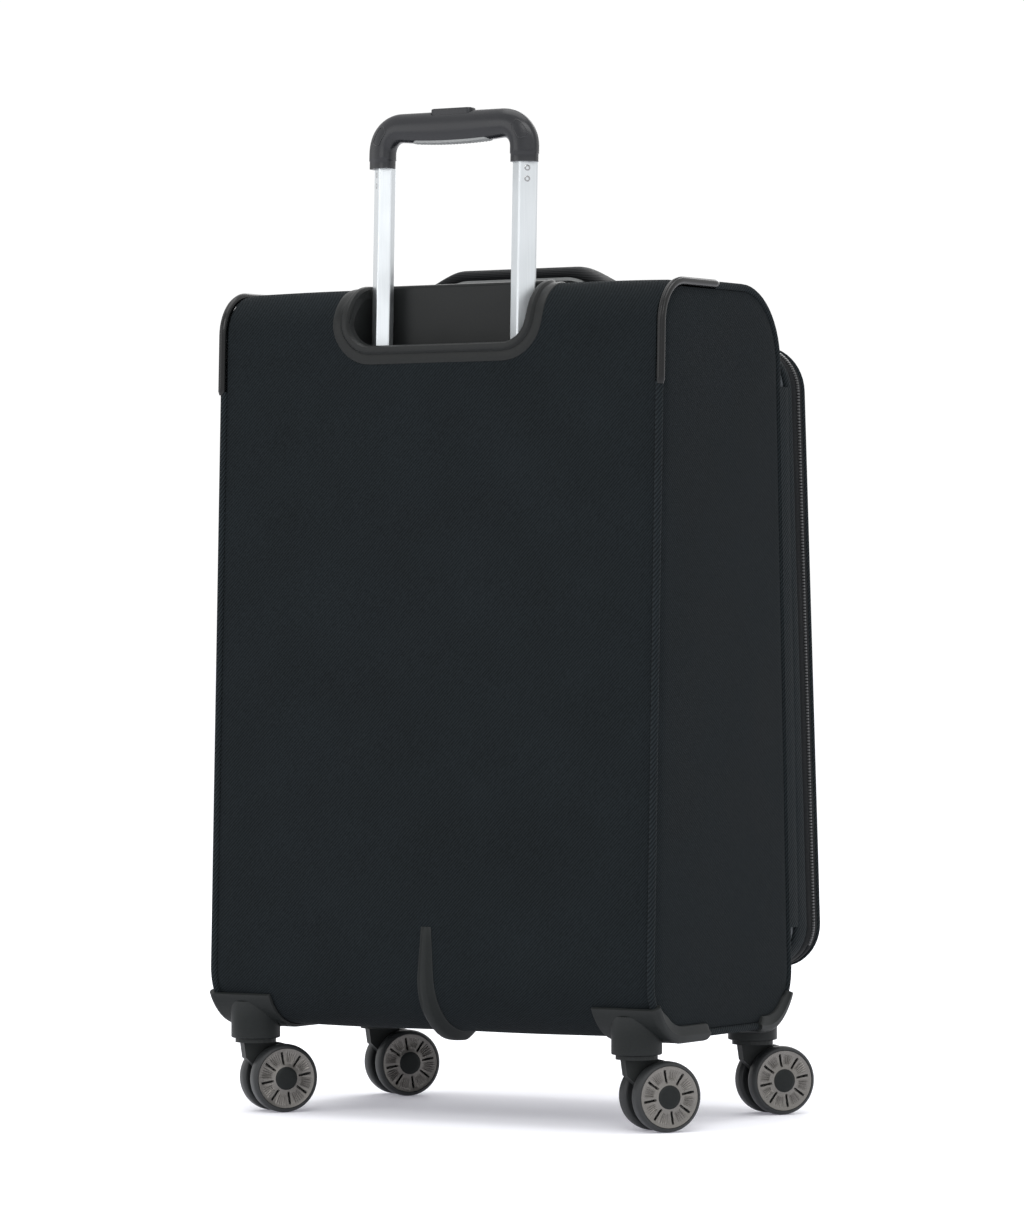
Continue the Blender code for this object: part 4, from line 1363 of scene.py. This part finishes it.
@dataclass
class CarryHandle:
    """A padded carry handle: two sewn-down ends, a raised middle and a ribbed soft underside."""

    name: str
    node: str
    place: Place
    length: float = 0.2050
    width: float = 0.0280
    thick: float = 0.0110
    rise: float = 0.0200
    sewn: float = 0.0200
    ramp: float = 0.0460

    def arch(self, a: float) -> tuple[float, float]:
        """Shapes the handle from the side.

        Args:
            a: the distance from its middle.

        Returns:
            The heights of its underside and its top.
        """
        half = self.length / 2
        reach = abs(a)
        under = (self.rise - self.thick) * smooth(half - reach, self.sewn * 0.9, self.ramp + 0.010)
        over = 0.0035 + (self.rise - 0.0035) * smooth(half - reach, 0.004, self.ramp + 0.004)
        return under, max(over, under + 0.0030)

    def build(self) -> None:
        """Builds the wrap, the insert and the stitching."""
        half = self.length / 2
        rings = []
        count, power = 72, 2.6
        for k in range(count + 1):
            a = half * (2 * k / count - 1)
            under, over = self.arch(a)
            wide = self.width / 2 * (1 - 0.10 * smooth(half - abs(a), 0.020, 0.050))
            wide *= 0.90 + 0.10 * smooth(half - abs(a), 0.0, 0.004)
            section = oval((over - under) / 2, wide, (under + over) / 2, 0.0, 24, power)
            rings.append([self.place(a, up, across) for up, across in section])
        made = add_piece(self.name, grid_mesh(rings), WEBBING, "case", 60, (self.node,))
        self.insert()
        rows = []
        for sign in (-1, 1):
            points = []
            for inwards, across in self.patch():
                a = sign * (half - inwards)
                points.append(self.place(a, self.arch(a)[1] * 0.985 + 0.0001, across))
            rows.append(stitches(points, self.place(0, 1, 0) - self.place(0, 0, 0)))
        add_piece(self.name + "_stitching", joined_mesh(rows), THREAD, "case")

    def patch(self) -> list[Point]:
        """The corners of the boxed cross that sews an end down, as one line."""
        near, far, side = 0.004, 0.017, self.width / 2 - 0.006
        return [(near, -side), (near, side), (far, side), (far, -side), (near, -side), (far, side)]

    def insert(self) -> None:
        """The light ribbed strip under the raised middle."""
        rings = []
        reach, count = 0.066, 180
        for k in range(count + 1):
            a = reach * (2 * k / count - 1)
            under = self.arch(a)[0]
            rib = 0.00045 * cos(2 * pi * a / 0.0032)
            half = 0.0115 * sqrt(max(0.03, 1 - max(0.0, (abs(a) - 0.058) / 0.008) ** 2))
            section = ((under + 0.0020, half), (under - 0.0006, half), (under - 0.0016 + rib, half * 0.75))
            section += tuple((up, -across) for up, across in reversed(section))
            rings.append([self.place(a, up, across) for up, across in section])
        add_piece(self.name + "_insert", grid_mesh(rings), RUBBER, "case", 50)


@dataclass
class KickFoot:
    """The tapered rib that guards the back bottom edge."""

    form: CaseForm

    def build(self) -> None:
        """Builds the rib on its base flange."""
        front_bottom, back_bottom, back_top, _ = self.form.arcs()
        path = [mixed(front_bottom[-1], back_bottom[0], 0.86), *back_bottom]
        path.append(mixed(back_bottom[-1], back_top[0], 0.072))
        path = spaced(path, 0.004)
        rings = []
        for i, (u, v, nu, nv) in enumerate(path):
            share = i / (len(path) - 1)
            half = 0.0125 - 0.0080 * share
            tall = (0.0100 - 0.0066 * share) * sqrt(smooth(share, -0.03, 0.10))
            tall *= 0.35 + 0.65 * smooth(1 - share, 0.0, 0.06)
            section = [(0.0002, half), (0.0014, half), (0.0020, half * 0.78), (tall * 0.85, half * 0.46)]
            section += [(tall, half * 0.30), (tall + 0.0003, 0.0)]
            section += [(out, -across) for out, across in reversed(section[:-1])]
            rings.append([self.form.side(u + nu * out, v + nv * out, across) for out, across in section])
        add_piece("kick_foot_rib", grid_mesh(rings), HOUSING_ABS, "case", 50, ("kick_foot",))


# Casters --------------------------------------------------------------------------------------

@dataclass
class WheelHousing:
    """The moulded shell round one bottom corner of the case, with the boss over its caster."""

    form: CaseForm
    name: str
    side: int
    swivel_y: float
    end_y: float
    inner_x: float = 0.1490
    top: float = 0.0985
    proud: float = 0.0038
    clear: float = 0.0014
    band: float = 0.0098
    boss_radius: float = 0.0198
    boss_bottom: float = 0.0600
    swivel_x: float = 0.1770

    def section(self, share: float) -> list[Point]:
        """The shell's section, from its inner edge over the corner and down the side.

        Args:
            share: how far along, from the bottom run's end to the tip.

        Returns:
            The (outwards, across) points.
        """
        tip = smooth(share, 0.80, 1.0)
        toe = sqrt(1 - (1 - min(1.0, share / 0.07)) ** 2)
        band = self.band * (0.45 + 0.55 * toe) * (1 - 0.45 * tip)
        flare = 0.0008 * smooth(share, 0.80, 1.0)
        outer = self.form.half_width + 0.0030
        proud = self.clear + (self.proud + flare * 0.5 - self.clear) * (0.35 + 0.65 * toe)
        inner, clear = self.inner_x, self.clear
        points = [
            (clear, inner), (proud - 0.0012, inner), (proud - 0.0003, inner + 0.0006),
            (proud, inner + 0.0020), (proud, outer - 0.0050), (proud + 0.0002, outer - 0.0034),
            (proud - 0.0006, outer - 0.0014), (proud - 0.0022, outer - 0.0002),
            (0.0000, outer + flare), (-0.0022, outer + 0.0003 + flare),
            (-0.0034, outer - 0.0005 + flare * 0.6), (-band + 0.0020, outer - 0.0007 + flare * 0.4),
            (-band + 0.0006, outer - 0.0011 + flare * 0.3), (-band, outer - 0.0020),
            (-band, outer - 0.0036), (-0.0010, outer - 0.0036), (clear - 0.0004, outer - 0.0048),
            (clear, outer - 0.0064),
        ]
        return [(out, self.side * across) for out, across in points]

    def build(self) -> None:
        """Builds the shell and its boss."""
        front_bottom, back_bottom = self.form.arcs(20)[:2]
        run = (self.end_y - front_bottom[-1][0]) / (back_bottom[0][0] - front_bottom[-1][0])
        arc = back_bottom if self.end_y > 0 else front_bottom[::-1]
        path = [mixed(front_bottom[-1], back_bottom[0], run), *(p for p in arc if p[1] < self.top)]
        path = spaced(path, 0.003)
        shell = swept(path, self.section, self.form.side)
        high = self.form.front_bottom[1] + 0.018
        low = self.boss_bottom
        radius = self.boss_radius
        profile = [(0.0045, high), (radius + 0.0012, high), (radius + 0.0004, high - 0.0120)]
        profile += [(radius, high - 0.0190), (radius, low + 0.0012), (radius - 0.0004, low + 0.0003)]
        profile += [(radius - 0.0014, low), (0.0045, low)]

        def under(u: float, v: float, w: float) -> Vector:
            """Round the swivel's axis."""
            return Vector((self.side * self.swivel_x + u, self.swivel_y + v, w)) + self.form.shift

        mesh = joined_mesh([shell, turned(profile, under, 56)])
        add_piece(self.name + "_corner_shell", mesh, HOUSING_ABS, "case", 38, (self.name + "_wheel_housing",))


@dataclass
class Caster:
    """One twin-wheel caster: each wheel has a tread, a core, a slotted silver face and a hub cap."""

    form: CaseForm
    name: str
    side: int
    swivel_y: float
    swivel_x: float = 0.1770
    heading: float = radians(234)
    radius: float = 0.0276
    trail: float = 0.0195
    width: float = 0.0132
    hub_half: float = 0.0052
    spokes: int = 8
    face_radius: float = 0.0241
    cap_radius: float = 0.0097
    phase: float = radians(10)

    def axle(self, u: float, v: float, w: float) -> Vector:
        """Round the axle: u is the trailing direction, v is up and w runs along the axle."""
        local = Matrix.Rotation(self.heading, 3, "Z") @ Vector((self.trail + u, w, self.radius + v))
        return Vector((self.side * self.swivel_x, self.swivel_y, 0.0)) + local + self.form.shift

    def build(self) -> None:
        """Builds both wheels."""
        for label, sign in (("inner", 1), ("outer", -1)):
            self.wheel(label, sign)

    def wheel(self, label: str, sign: int) -> None:
        """Builds one wheel.

        Args:
            label: which of the two.
            sign: its side of the fork, along the axle.
        """
        near = self.hub_half + 0.0006
        far = near + self.width
        body = f"{self.name}_{label}_wheel"
        r = self.radius

        def at(points: Iterable[Point]) -> list[Point]:
            """The profile on this wheel's side of the fork."""
            return [(radius, sign * height) for radius, height in points]

        rim = self.face_radius
        tread = [
            (0.0200, near + 0.0014), (r - 0.0042, near + 0.0006), (r - 0.0026, near + 0.0002),
            (r - 0.0010, near + 0.0009), (r - 0.0002, near + 0.0026), (r, near + 0.0045),
            (r, far - 0.0045), (r - 0.0003, far - 0.0026), (r - 0.0011, far - 0.0010),
            (r - 0.0023, far - 0.0002), (rim + 0.0004, far), (rim, far - 0.0007),
            (rim, far - 0.0034), (0.0200, far - 0.0040),
        ]
        add_piece(body + "_tread", turned(at(tread), self.axle, 72), TREAD, body, 45, (body,))
        core = ((0.0030, near), (0.0200, near + 0.0014), (0.0200, far - 0.0046), (0.0030, far - 0.0046))
        add_piece(body + "_core", turned(at(core), self.axle, 40), HOUSING_ABS, body)
        self.face(body, sign, far)
        cap = self.cap_radius
        dome = [(0.0002, far + 0.0006), (0.0030, far + 0.0006), (0.0062, far + 0.0004)]
        dome += [(cap - 0.0008, far - 0.0001), (cap, far - 0.0010), (cap, far - 0.0040)]
        add_piece(body + "_hub_cap", turned(at(dome), self.axle, 40, capped=True), HOUSING_ABS, body)

    def face(self, body: str, sign: int, far: float) -> None:
        """The silver face: dished, with radial slots and raised wedges between them.

        Args:
            body: the wheel's body.
            sign: its side of the fork.
            far: the height of the wheel's outer side along the axle.
        """
        segments = 40 * self.spokes
        inner = self.cap_radius - 0.0004
        radii = [inner + (self.face_radius - 0.0002 - inner) * k / 18 for k in range(19)]

        def height(r: float, turn: float) -> float:
            """The face's height: rim, dish, wedges and slots."""
            sector = 2 * pi / self.spokes
            off = abs((turn - self.phase + sector / 2) % sector - sector / 2) * r
            dish = min(1.0, max(0.0, (r - inner) / (self.face_radius - inner)))
            base = far - 0.0004 - 0.0016 * sin(pi * dish)
            span = smooth(r, 0.0112, 0.0120) * (1 - smooth(r, 0.0205, 0.0213))
            slot = span * (1 - smooth(off, 0.0005, 0.0009))
            clear = (sector * r / 2 - off) / (sector * r / 2)
            fan = 0.5 + 0.5 * cos(2 * pi * clear / 0.24)
            wedge = smooth(r, 0.0118, 0.0136) * (1 - smooth(r, 0.0204, 0.0224))
            wedge *= 1 - smooth(clear, 0.50, 0.62)
            return base - 0.0034 * slot + 0.0007 * wedge * fan

        turns = [2 * pi * k / segments for k in range(segments)]
        rings = []
        for r in radii:
            rings.append([self.axle(r * cos(t), r * sin(t), sign * height(r, t)) for t in turns])
        for r in (radii[-1], radii[0]):
            rings.append([self.axle(r * cos(t), r * sin(t), sign * (far - 0.0046)) for t in turns])
        made = add_piece(body + "_face", grid_mesh(rings, joined=True), WHEEL_FACE, body, 35)
        # The floors of the slots are seen as the dark core behind the face
        made.data.materials.append(HOUSING_ABS.material())
        hub = self.axle(0, 0, sign * far)
        out = (hub - self.axle(0, 0, 0)).normalized()
        for face in made.data.polygons:
            middle = sum((made.data.vertices[i].co for i in face.vertices), Vector()) / len(face.vertices)
            if 0.0026 < (hub - middle).dot(out) < 0.0043:
                face.material_index = 1


# Lid ------------------------------------------------------------------------------------------

@dataclass
class Lid:
    """The front lid: its panel, the pocket's gusset with its zip, the padded flap and the hinge."""

    form: CaseForm
    back: float = 0.0059
    panel: float = 0.0040
    wall: float = 0.0028
    flap: float = 0.0040
    tape: float = 0.0100
    rest: float = 0.0070
    tooth_pitch: float = 0.0025
    flap_fullness: float = 0.0060
    spine: tuple[Point, Point] = ((0.0, 0.26), (0.0, 0.47))

    def build(self) -> None:
        """Builds every piece of the lid and both halves of the main zip."""
        self.panel_cloth()
        self.gusset()
        self.zip_tapes()
        self.flap_cloth()
        self.hinge()

    def lid_front(self, v: float) -> float:
        """The y of the lid panel's front at a height."""
        return self.form.front_y(v) - self.back - self.panel - 0.0003

    def pocket_edge(self, v: float) -> float:
        """The y of the gusset's outer edge at a height."""
        return self.form.pocket_y(v) + self.flap + 0.0003

    def panel_cloth(self) -> None:
        """The lid's panel: lining towards the case, and the back of the pocket."""
        form = self.form
        path = shifted(form.lid_path(0.010), -0.0022)

        def front(u: float, v: float, share: float) -> Vector:
            """The pocket's back wall."""
            return form.on_front(u, v, -self.back - self.panel + 0.0004 * ripple(u, v) * (1 - share**4))

        def rear(u: float, v: float, share: float) -> Vector:
            """The side towards the case."""
            return form.on_front(u, v, -self.back + 0.0010 * (1 - share**4))

        faces = [filled_rings(path, self.spine, 14, place) for place in (front, rear)]
        mesh = closed_pad(*faces)
        made = add_piece("lid_panel_cloth", mesh, LINING, "lid", 50, ("lid_panel",))

    def ring_band(
        self,
        near: Callable[[float], float],
        far: Callable[[float], float],
        profile: Sequence[Point],
        thick: float,
    ) -> bmesh.types.BMesh:
        """A band round the lid's four sides.

        Args:
            near: the y of its edge towards the case at a height.
            far: the y of its edge towards the front at a height.
            profile: (share from near to far, outset) points of its outer skin.
            thick: its thickness.

        Returns:
            The closed band.
        """
        path = self.form.lid_path()
        rings = []
        for back, skin in ((0.0, profile), (thick, list(reversed(profile)))):
            for share, out in skin:
                ring = []
                for u, v, nu, nv in path:
                    wave = 0.0005 * ripple(u + v, v - u) * sin(pi * share)
                    total = out - back + (wave if not back else 0.0)
                    y = near(v) + (far(v) - near(v)) * share
                    ring.append(self.form.front(u + nu * total, v + nv * total, y))
                rings.append(ring)
        return grid_mesh(rings, joined=True)

    def gusset(self) -> None:
        """The gusset: a twill band, then the pocket zip's two tapes with the coil between."""
        edge = self.pocket_edge

        def tape_start(v: float) -> float:
            """The y where the twill band ends and the zip tape starts."""
            return edge(v) + self.tape + self.rest

        def coil_line(v: float) -> float:
            """The y of the zip's coil."""
            return edge(v) + self.rest

        band = [(0.0, -0.0012), (0.06, 0.0), (0.3, 0.0009), (0.7, 0.0009), (0.93, 0.0001), (1.0, -0.0010)]
        mesh = self.ring_band(self.lid_front, tape_start, band, self.wall)
        add_piece("gusset_twill", mesh, BINDING, "lid", 60, ("pocket_gusset",))
        flat = [(0.0, -0.0016), (0.10, -0.0004), (0.5, -0.0002), (0.92, -0.0002), (1.0, -0.0006)]
        for name, near, far in (
            ("pocket_zip_tape", lambda v: tape_start(v) + 0.0005, lambda v: coil_line(v) + 0.0002),
            ("flap_zip_tape", lambda v: coil_line(v) - 0.0002, lambda v: edge(v) - 0.0005),
        ):
            add_piece(name, self.ring_band(near, far, flat, 0.0016), ZIP_TAPE, "lid", 60)
        self.coil("pocket_zip_coil", 0.0002, coil_line, "lid", ())

    def coil(
        self, name: str, outset: float, line: Callable[[float], float], body: str, nodes: Sequence[str]
    ) -> None:
        """A row of coil turns round the lid's top and two sides.

        Args:
            name: the piece's name.
            outset: how far it stands out from the lid's outline.
            line: the y of its middle at a height.
            body: the body that carries it.
            nodes: the frame's nodes that it stands for.
        """
        form = self.form
        path = rounded_box(form.lid_half, form.lid_low, form.lid_high, form.lid_radius, 14)
        path = spaced(path, self.tooth_pitch, closed=True)
        whole = bmesh.new()
        across, along, tall = 0.0019, self.tooth_pitch * 0.30, 0.0009
        for u, v, nu, nv in path:
            if nv < -0.5:
                continue
            corners = []
            for a, b, c in ((-1, -0.7, 0), (-0.6, -1, 1), (0.6, -1, 1), (1, -0.7, 0)):
                for way in (-1, 1):
                    du, dv = -nv * along * way * abs(b), nu * along * way * abs(b)
                    out = outset + tall * c
                    point = form.front(u + nu * out + du, v + nv * out + dv, line(v) + across * a)
                    corners.append(whole.verts.new(point))
            faces = ((0, 1, 3, 2), (2, 3, 5, 4), (4, 5, 7, 6), (0, 2, 4, 6), (1, 7, 5, 3), (0, 6, 7, 1))
            for face in faces:
                whole.faces.new([corners[i] for i in face])
        bmesh.ops.recalc_face_normals(whole, faces=whole.faces)
        add_piece(name, whole, COIL, body, 30, nodes)

    def zip_tapes(self) -> None:
        """The main zip in the seam between case and lid: a tape on each side and one row of coil."""
        form = self.form
        for name, body, low, node in (
            ("case_zip_tape", "case", 0.0004, "main_zip_case_half"),
            ("lid_zip_tape", "lid", 0.0032, "main_zip_lid_half"),
        ):
            path = form.lid_path()
            start = next(i for i, p in enumerate(path) if p[3] > -0.5 >= path[i - 1][3])
            path = [p for p in path[start:] + path[:start] if p[3] > -0.5]
            section = [(-0.0130, -low), (-0.0042, -low), (-0.0042, -low - 0.0020), (-0.0130, -low - 0.0020)]
            mesh = swept(path, lambda _, s=section: s, form.on_front)
            add_piece(name, mesh, ZIP_TAPE, body, 40, (node,))
        self.coil("main_zip_coil", -0.0044, lambda v: form.front_y(v) - form.zip_setback, "case", ())

    def flap_cloth(self) -> None:
        """The pocket's face: foam-backed twill, full in the middle, with piping round its rim."""
        form = self.form
        path = spaced(shifted(form.lid_path(0.008), -0.0012), 0.008, closed=True)

        def front(u: float, v: float, share: float) -> Vector:
            """The outer skin."""
            rise = 0.0016 * (1 - smooth(share, 0.86, 1.0))
            return form.on_pocket(u, v, 0.0012 - rise)

        def rear(u: float, v: float, _: float) -> Vector:
            """The inner skin."""
            return form.on_pocket(u, v, self.flap - 0.0006)

        mesh = closed_pad(filled_rings(path, self.spine, 26, front), filled_rings(path, self.spine, 8, rear))
        made = add_piece("pocket_flap_cloth", mesh, TWILL, "pocket_flap", 60, ("pocket_flap",))
        self.inflate(made)
        cord = oval(0.0021, 0.0021, -0.0010, 0.0018, 12)
        rim = swept(form.lid_path(), lambda _: cord, form.on_pocket, closed=True)
        add_piece("flap_piping", rim, BINDING, "pocket_flap")

    def inflate(self, made: bpy.types.Object) -> None:
        """Swells the flap's outer skin by cloth simulation and keeps the result.

        Args:
            made: the flap, whose rim and inner skin stay where they are.
        """
        data = made.data
        pinned = made.vertex_groups.new(name="held")
        start = [vertex.co.copy() for vertex in data.vertices]
        for i, point in enumerate(start):
            local = point - self.form.shift
            depth = local.y - self.form.pocket_y(local.z)
            if depth > 0.0005:
                pinned.add([i], 1.0, "REPLACE")
        cloth = made.modifiers.new("swell", "CLOTH")
        settings = cloth.settings
        settings.use_pressure = True
        settings.uniform_pressure_force = 4.0
        settings.vertex_group_mass = "held"
        settings.effector_weights.gravity = 0.0
        settings.tension_stiffness = 15.0
        settings.bending_stiffness = 2.0
        scene = bpy.context.scene
        for frame_number in range(1, 21):
            scene.frame_set(frame_number)
        evaluated = made.evaluated_get(bpy.context.evaluated_depsgraph_get())
        swollen = [vertex.co.copy() for vertex in evaluated.data.vertices]
        made.modifiers.remove(cloth)
        scene.frame_set(1)
        for vertex, before, after in zip(data.vertices, start, swollen):
            travel = after - before
            if travel.length > self.flap_fullness:
                travel *= self.flap_fullness / travel.length
            vertex.co = before + travel
        data.update()

    def hinge(self) -> None:
        """The cloth hinge down the left edge, between the case and the lid."""
        form = self.form
        rows = []
        x = -form.half_width
        count, steps, end = 70, 16, 0.034
        near, far = 0.0035, -0.0125
        for k in range(count + 1):
            v = form.lid_low + end + (form.lid_high - form.lid_low - 2 * end) * k / count
            row = []
            for j in range(steps + 1):
                y = near + (far - near) * j / steps
                out = 0.0006 + 0.0004 * sin(pi * j / steps) - 0.0006 * smooth(j / steps, 0.6, 1.0)
                row.append(form.front(x - out, v, form.front_y(v) + y))
            for j in reversed(range(steps + 1)):
                y = near + (far - near) * j / steps
                row.append(form.front(x + 0.0008, v, form.front_y(v) + y))
            rows.append(row)
        made = add_piece("lid_hinge_cloth", grid_mesh(rows), BINDING, None, 60)
        middle = (form.lid_low + form.lid_high) / 2
        start = form.front(x, middle, form.front_y(middle) + 0.0020)
        end = form.front(x, middle, form.front_y(middle) - 0.0090)
        tuple(end)
        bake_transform(made)


@dataclass
class Slider:
    """A zip slider: a body that narrows to its tail, a bridge and a pierced pull tab."""

    node: str
    place: Place

    def build(self) -> None:
        """Builds the slider in one piece."""
        nose, tail = 0.0047, 0.0036
        corners = ((-tail, -0.0060), (tail, -0.0060), (nose, 0.0060), (-nose, 0.0060))
        body = filleted(outline(corners, (0.0014,) * 4, 5), self.place, 0.0, 0.0030, 0.0007, 3)
        bridge = rounded_box(0.0014, -0.0046, 0.0042, 0.0010, 4)
        bridge = filleted(bridge, self.place, 0.0024, 0.0046, 0.0006, 3)
        tab = rounded_box(0.0033, -0.0290, -0.0020, 0.0020, 6)
        hole = prism(rounded_box(0.0018, -0.0262, -0.0200, 0.0012, 5), self.place, 0.0, 0.0080)
        tab = cut(filleted(tab, self.place, 0.0030, 0.0042, 0.0004, 3), [("DIFFERENCE", hole)])
        mesh = joined_mesh([body, bridge, tab])
        add_piece(self.node + "_puller", mesh, GUNMETAL, self.node, 35, (self.node,))


# Frame nodes that stay ------------------------------------------------------------------------

KEPT_NODES: dict[str, Finish] = {
    "back_board": BOARD,
    "bottom_board": BOARD,
    "tube_foot": BEZEL_ABS,
    "wire_frame": SPRING,
    **{f"{side}_{stage}_tube": ALUMINIUM for side, _ in SIDES for stage in ("outer", "mid", "inner")},
}
CORNERS = ("back_left", "back_right", "front_left", "front_right")


def dress_frame() -> None:
    """Gives every frame node a finish: the ones that stay, and the ones that others stand for."""
    finishes = dict(KEPT_NODES)
    for corner in CORNERS:
        finishes[corner + "_fork"] = HOUSING_ABS
    by_slot = {"fabric": TWILL, "piping": BINDING, "webbing": WEBBING, "zip_tape": ZIP_TAPE}
    by_slot |= {"gloss_trim": GUARD_ABS, "black_plastic": BEZEL_ABS, "grip_plastic": GRIP_ABS}
    by_slot |= {"grip_pad": RUBBER, "wheel": TREAD, "slider_metal": GUNMETAL, "board": BOARD}
    by_slot |= {"steel": STEEL, "spring_steel": SPRING, "tube_aluminium": ALUMINIUM}
    slots = {part["node"]: part["material_slot"] for part in frame["record"]["subparts"]}
    for name, node in frame["nodes"].items():
        finish = finishes.get(name) or by_slot[slots[name]]
        for slot in node.material_slots:
            slot.material = finish.material()
        log.info("%s: frame node, %s", name, finish.name)


# Studio ---------------------------------------------------------------------------------------

@dataclass
class Studio:
    """A pale floor, a white surround, soft lamps and the camera."""

    form: CaseForm
    bearing: float = radians(31.107)
    distance: float = 4.4323
    sideways: float = 0.0058
    height: float = 0.3826
    pitch: float = radians(-0.2379)
    lens: float = 161.25
    surround: float = 1.05
    lamps: tuple[tuple[str, tuple[float, float, float], float, float], ...] = (
        ("key_softbox", (-1.6, 2.8, 2.6), 1.6, 34.0),
        ("fill_softbox", (1.6, 3.0, 1.4), 1.8, 14.0),
        ("top_softbox", (0.0, 0.2, 3.0), 2.2, 30.0),
        ("front_softbox", (0.8, -3.2, 2.0), 2.2, 30.0),
    )

    def build(self) -> None:
        """Builds the camera, the floor, the surround and the lamps."""
        self.camera()
        self.floor()
        self.world()
        for name, place, size, power in self.lamps:
            self.lamp(name, place, size, power)

    def camera(self) -> None:
        """The camera, low behind the left corner, looking level."""
        away = Vector((-sin(self.bearing), cos(self.bearing), 0.0))
        right = Vector((-cos(self.bearing), -sin(self.bearing), 0.0))
        up = Vector((0.0, 0.0, 1.0))
        data = bpy.data.cameras.new("camera")
        data.lens = self.lens
        made = in_scene("camera", data)
        made.location = away * self.distance + right * self.sideways + up * self.height + self.form.shift
        look = -away * cos(self.pitch) - up * sin(self.pitch)
        made.rotation_euler = look.to_track_quat("-Z", "Y").to_euler()
        bpy.context.scene.camera = made

    def floor(self) -> None:
        """A plain matt white floor."""
        mesh = bmesh.new()
        bmesh.ops.create_grid(mesh, x_segments=1, y_segments=1, size=60.0)
        data = mesh_data("floor", mesh)
        paint = bpy.data.materials.new("matt_white_paint")
        paint.use_nodes = True
        shader = paint.node_tree.nodes["Principled BSDF"]
        shader.inputs["Base Color"].default_value = linear("#f4f5f8")
        shader.inputs["Roughness"].default_value = 0.95
        shader.inputs["Emission Color"].default_value = linear("#f1eeff")
        shader.inputs["Emission Strength"].default_value = 0.17
        data.materials.append(paint)
        made = in_scene("floor", data)
        made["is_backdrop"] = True

    def world(self) -> None:
        """An even white surround."""
        world = bpy.data.worlds.new("surround")
        world.use_nodes = True
        background = world.node_tree.nodes["Background"]
        background.inputs["Color"].default_value = linear("#ffffff")
        background.inputs["Strength"].default_value = self.surround
        bpy.context.scene.world = world
        bpy.context.scene.view_settings.view_transform = "Standard"

    def lamp(self, name: str, place: tuple[float, float, float], size: float, power: float) -> None:
        """A square softbox that faces the case.

        Args:
            name: the lamp's name.
            place: where it stands.
            size: the length of its side.
            power: its power in watts.
        """
        data = bpy.data.lights.new(name, "AREA")
        data.size = size
        data.energy = power
        made = in_scene(name, data)
        made.location = place
        look = Vector((0.0, 0.0, 0.4)) - Vector(place)
        made.rotation_euler = look.to_track_quat("-Z", "Y").to_euler()


# Assembly -------------------------------------------------------------------------------------

def build_handles(form: CaseForm) -> None:
    """Builds the carry handle on the top and the one on the right side.

    Args:
        form: the case's form.
    """
    top = form.back_top[1] + (form.front_top[1] - form.back_top[1]) * 0.7
    right, forward, high = form.half_width, -0.030, 0.370

    def over_top(u: float, v: float, w: float) -> Vector:
        """Across the case, over its top."""
        return form.front(u, top + v, forward + w)

    def beside_case(u: float, v: float, w: float) -> Vector:
        """Upright, beside the right side."""
        return form.side(w, high + u, right + v)

    CarryHandle("top_carry_handle", "top_handle", over_top).build()
    CarryHandle("side_carry_handle", "side_handle", beside_case).build()


def build_sliders(form: CaseForm) -> None:
    """Builds the two sliders of the main zip and the two of the pocket's.

    Args:
        form: the case's form.
    """
    middle, spacing = 0.3700, 0.0075
    for node, sign in (("upper_main_slider", -1), ("lower_main_slider", 1)):

        def beside_zip(u: float, v: float, w: float, sign: int = sign) -> Vector:
            """On the right side, over the main zip."""
            z = middle - sign * spacing + sign * v
            return form.front(form.half_width + 0.0006 + w, z, form.front_y(z) - form.zip_setback + u)

        Slider(node, beside_zip).build()
    zip_y = form.pocket_y(form.lid_high) + 0.0105
    for node, sign in (("left_pocket_slider", -1), ("right_pocket_slider", 1)):

        def over_pocket(u: float, v: float, w: float, sign: int = sign) -> Vector:
            """On top of the gusset, over the pocket's zip."""
            return form.front(sign * (spacing - v), form.lid_high + 0.0006 + w, zip_y + u)

        Slider(node, over_pocket).build()


def build_casters(form: CaseForm) -> None:
    """Builds the four housings and the four casters.

    Args:
        form: the case's form.
    """
    for name in CORNERS:
        side = -1 if name.endswith("left") else 1
        back = name.startswith("back")
        swivel_y, end_y = (0.0955, 0.0320) if back else (-0.0915, -0.0515)
        WheelHousing(form, name, side, swivel_y, end_y).build()
        Caster(form, name, side, swivel_y).build()


def main() -> None:
    """Builds the suitcase round its frame, then the studio."""
    logging.basicConfig(level=logging.INFO, format="%(name)s: %(message)s")
    form = CaseForm.from_frame()
    Studio(form).build()
    dress_frame()
    CaseShell(form).build()
    SeamTrim(form).build()
    trolley = Trolley(form)
    GripRecess(form, trolley).build()
    trolley.build()
    build_handles(form)
    KickFoot(form).build()
    build_casters(form)
    Lid(form).build()
    build_sliders(form)
    boxes = {"cad": cad_box, "visual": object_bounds()}
    {name: [list(corner) for corner in box] for name, box in boxes.items()}


if __name__ == "__main__":
    main()
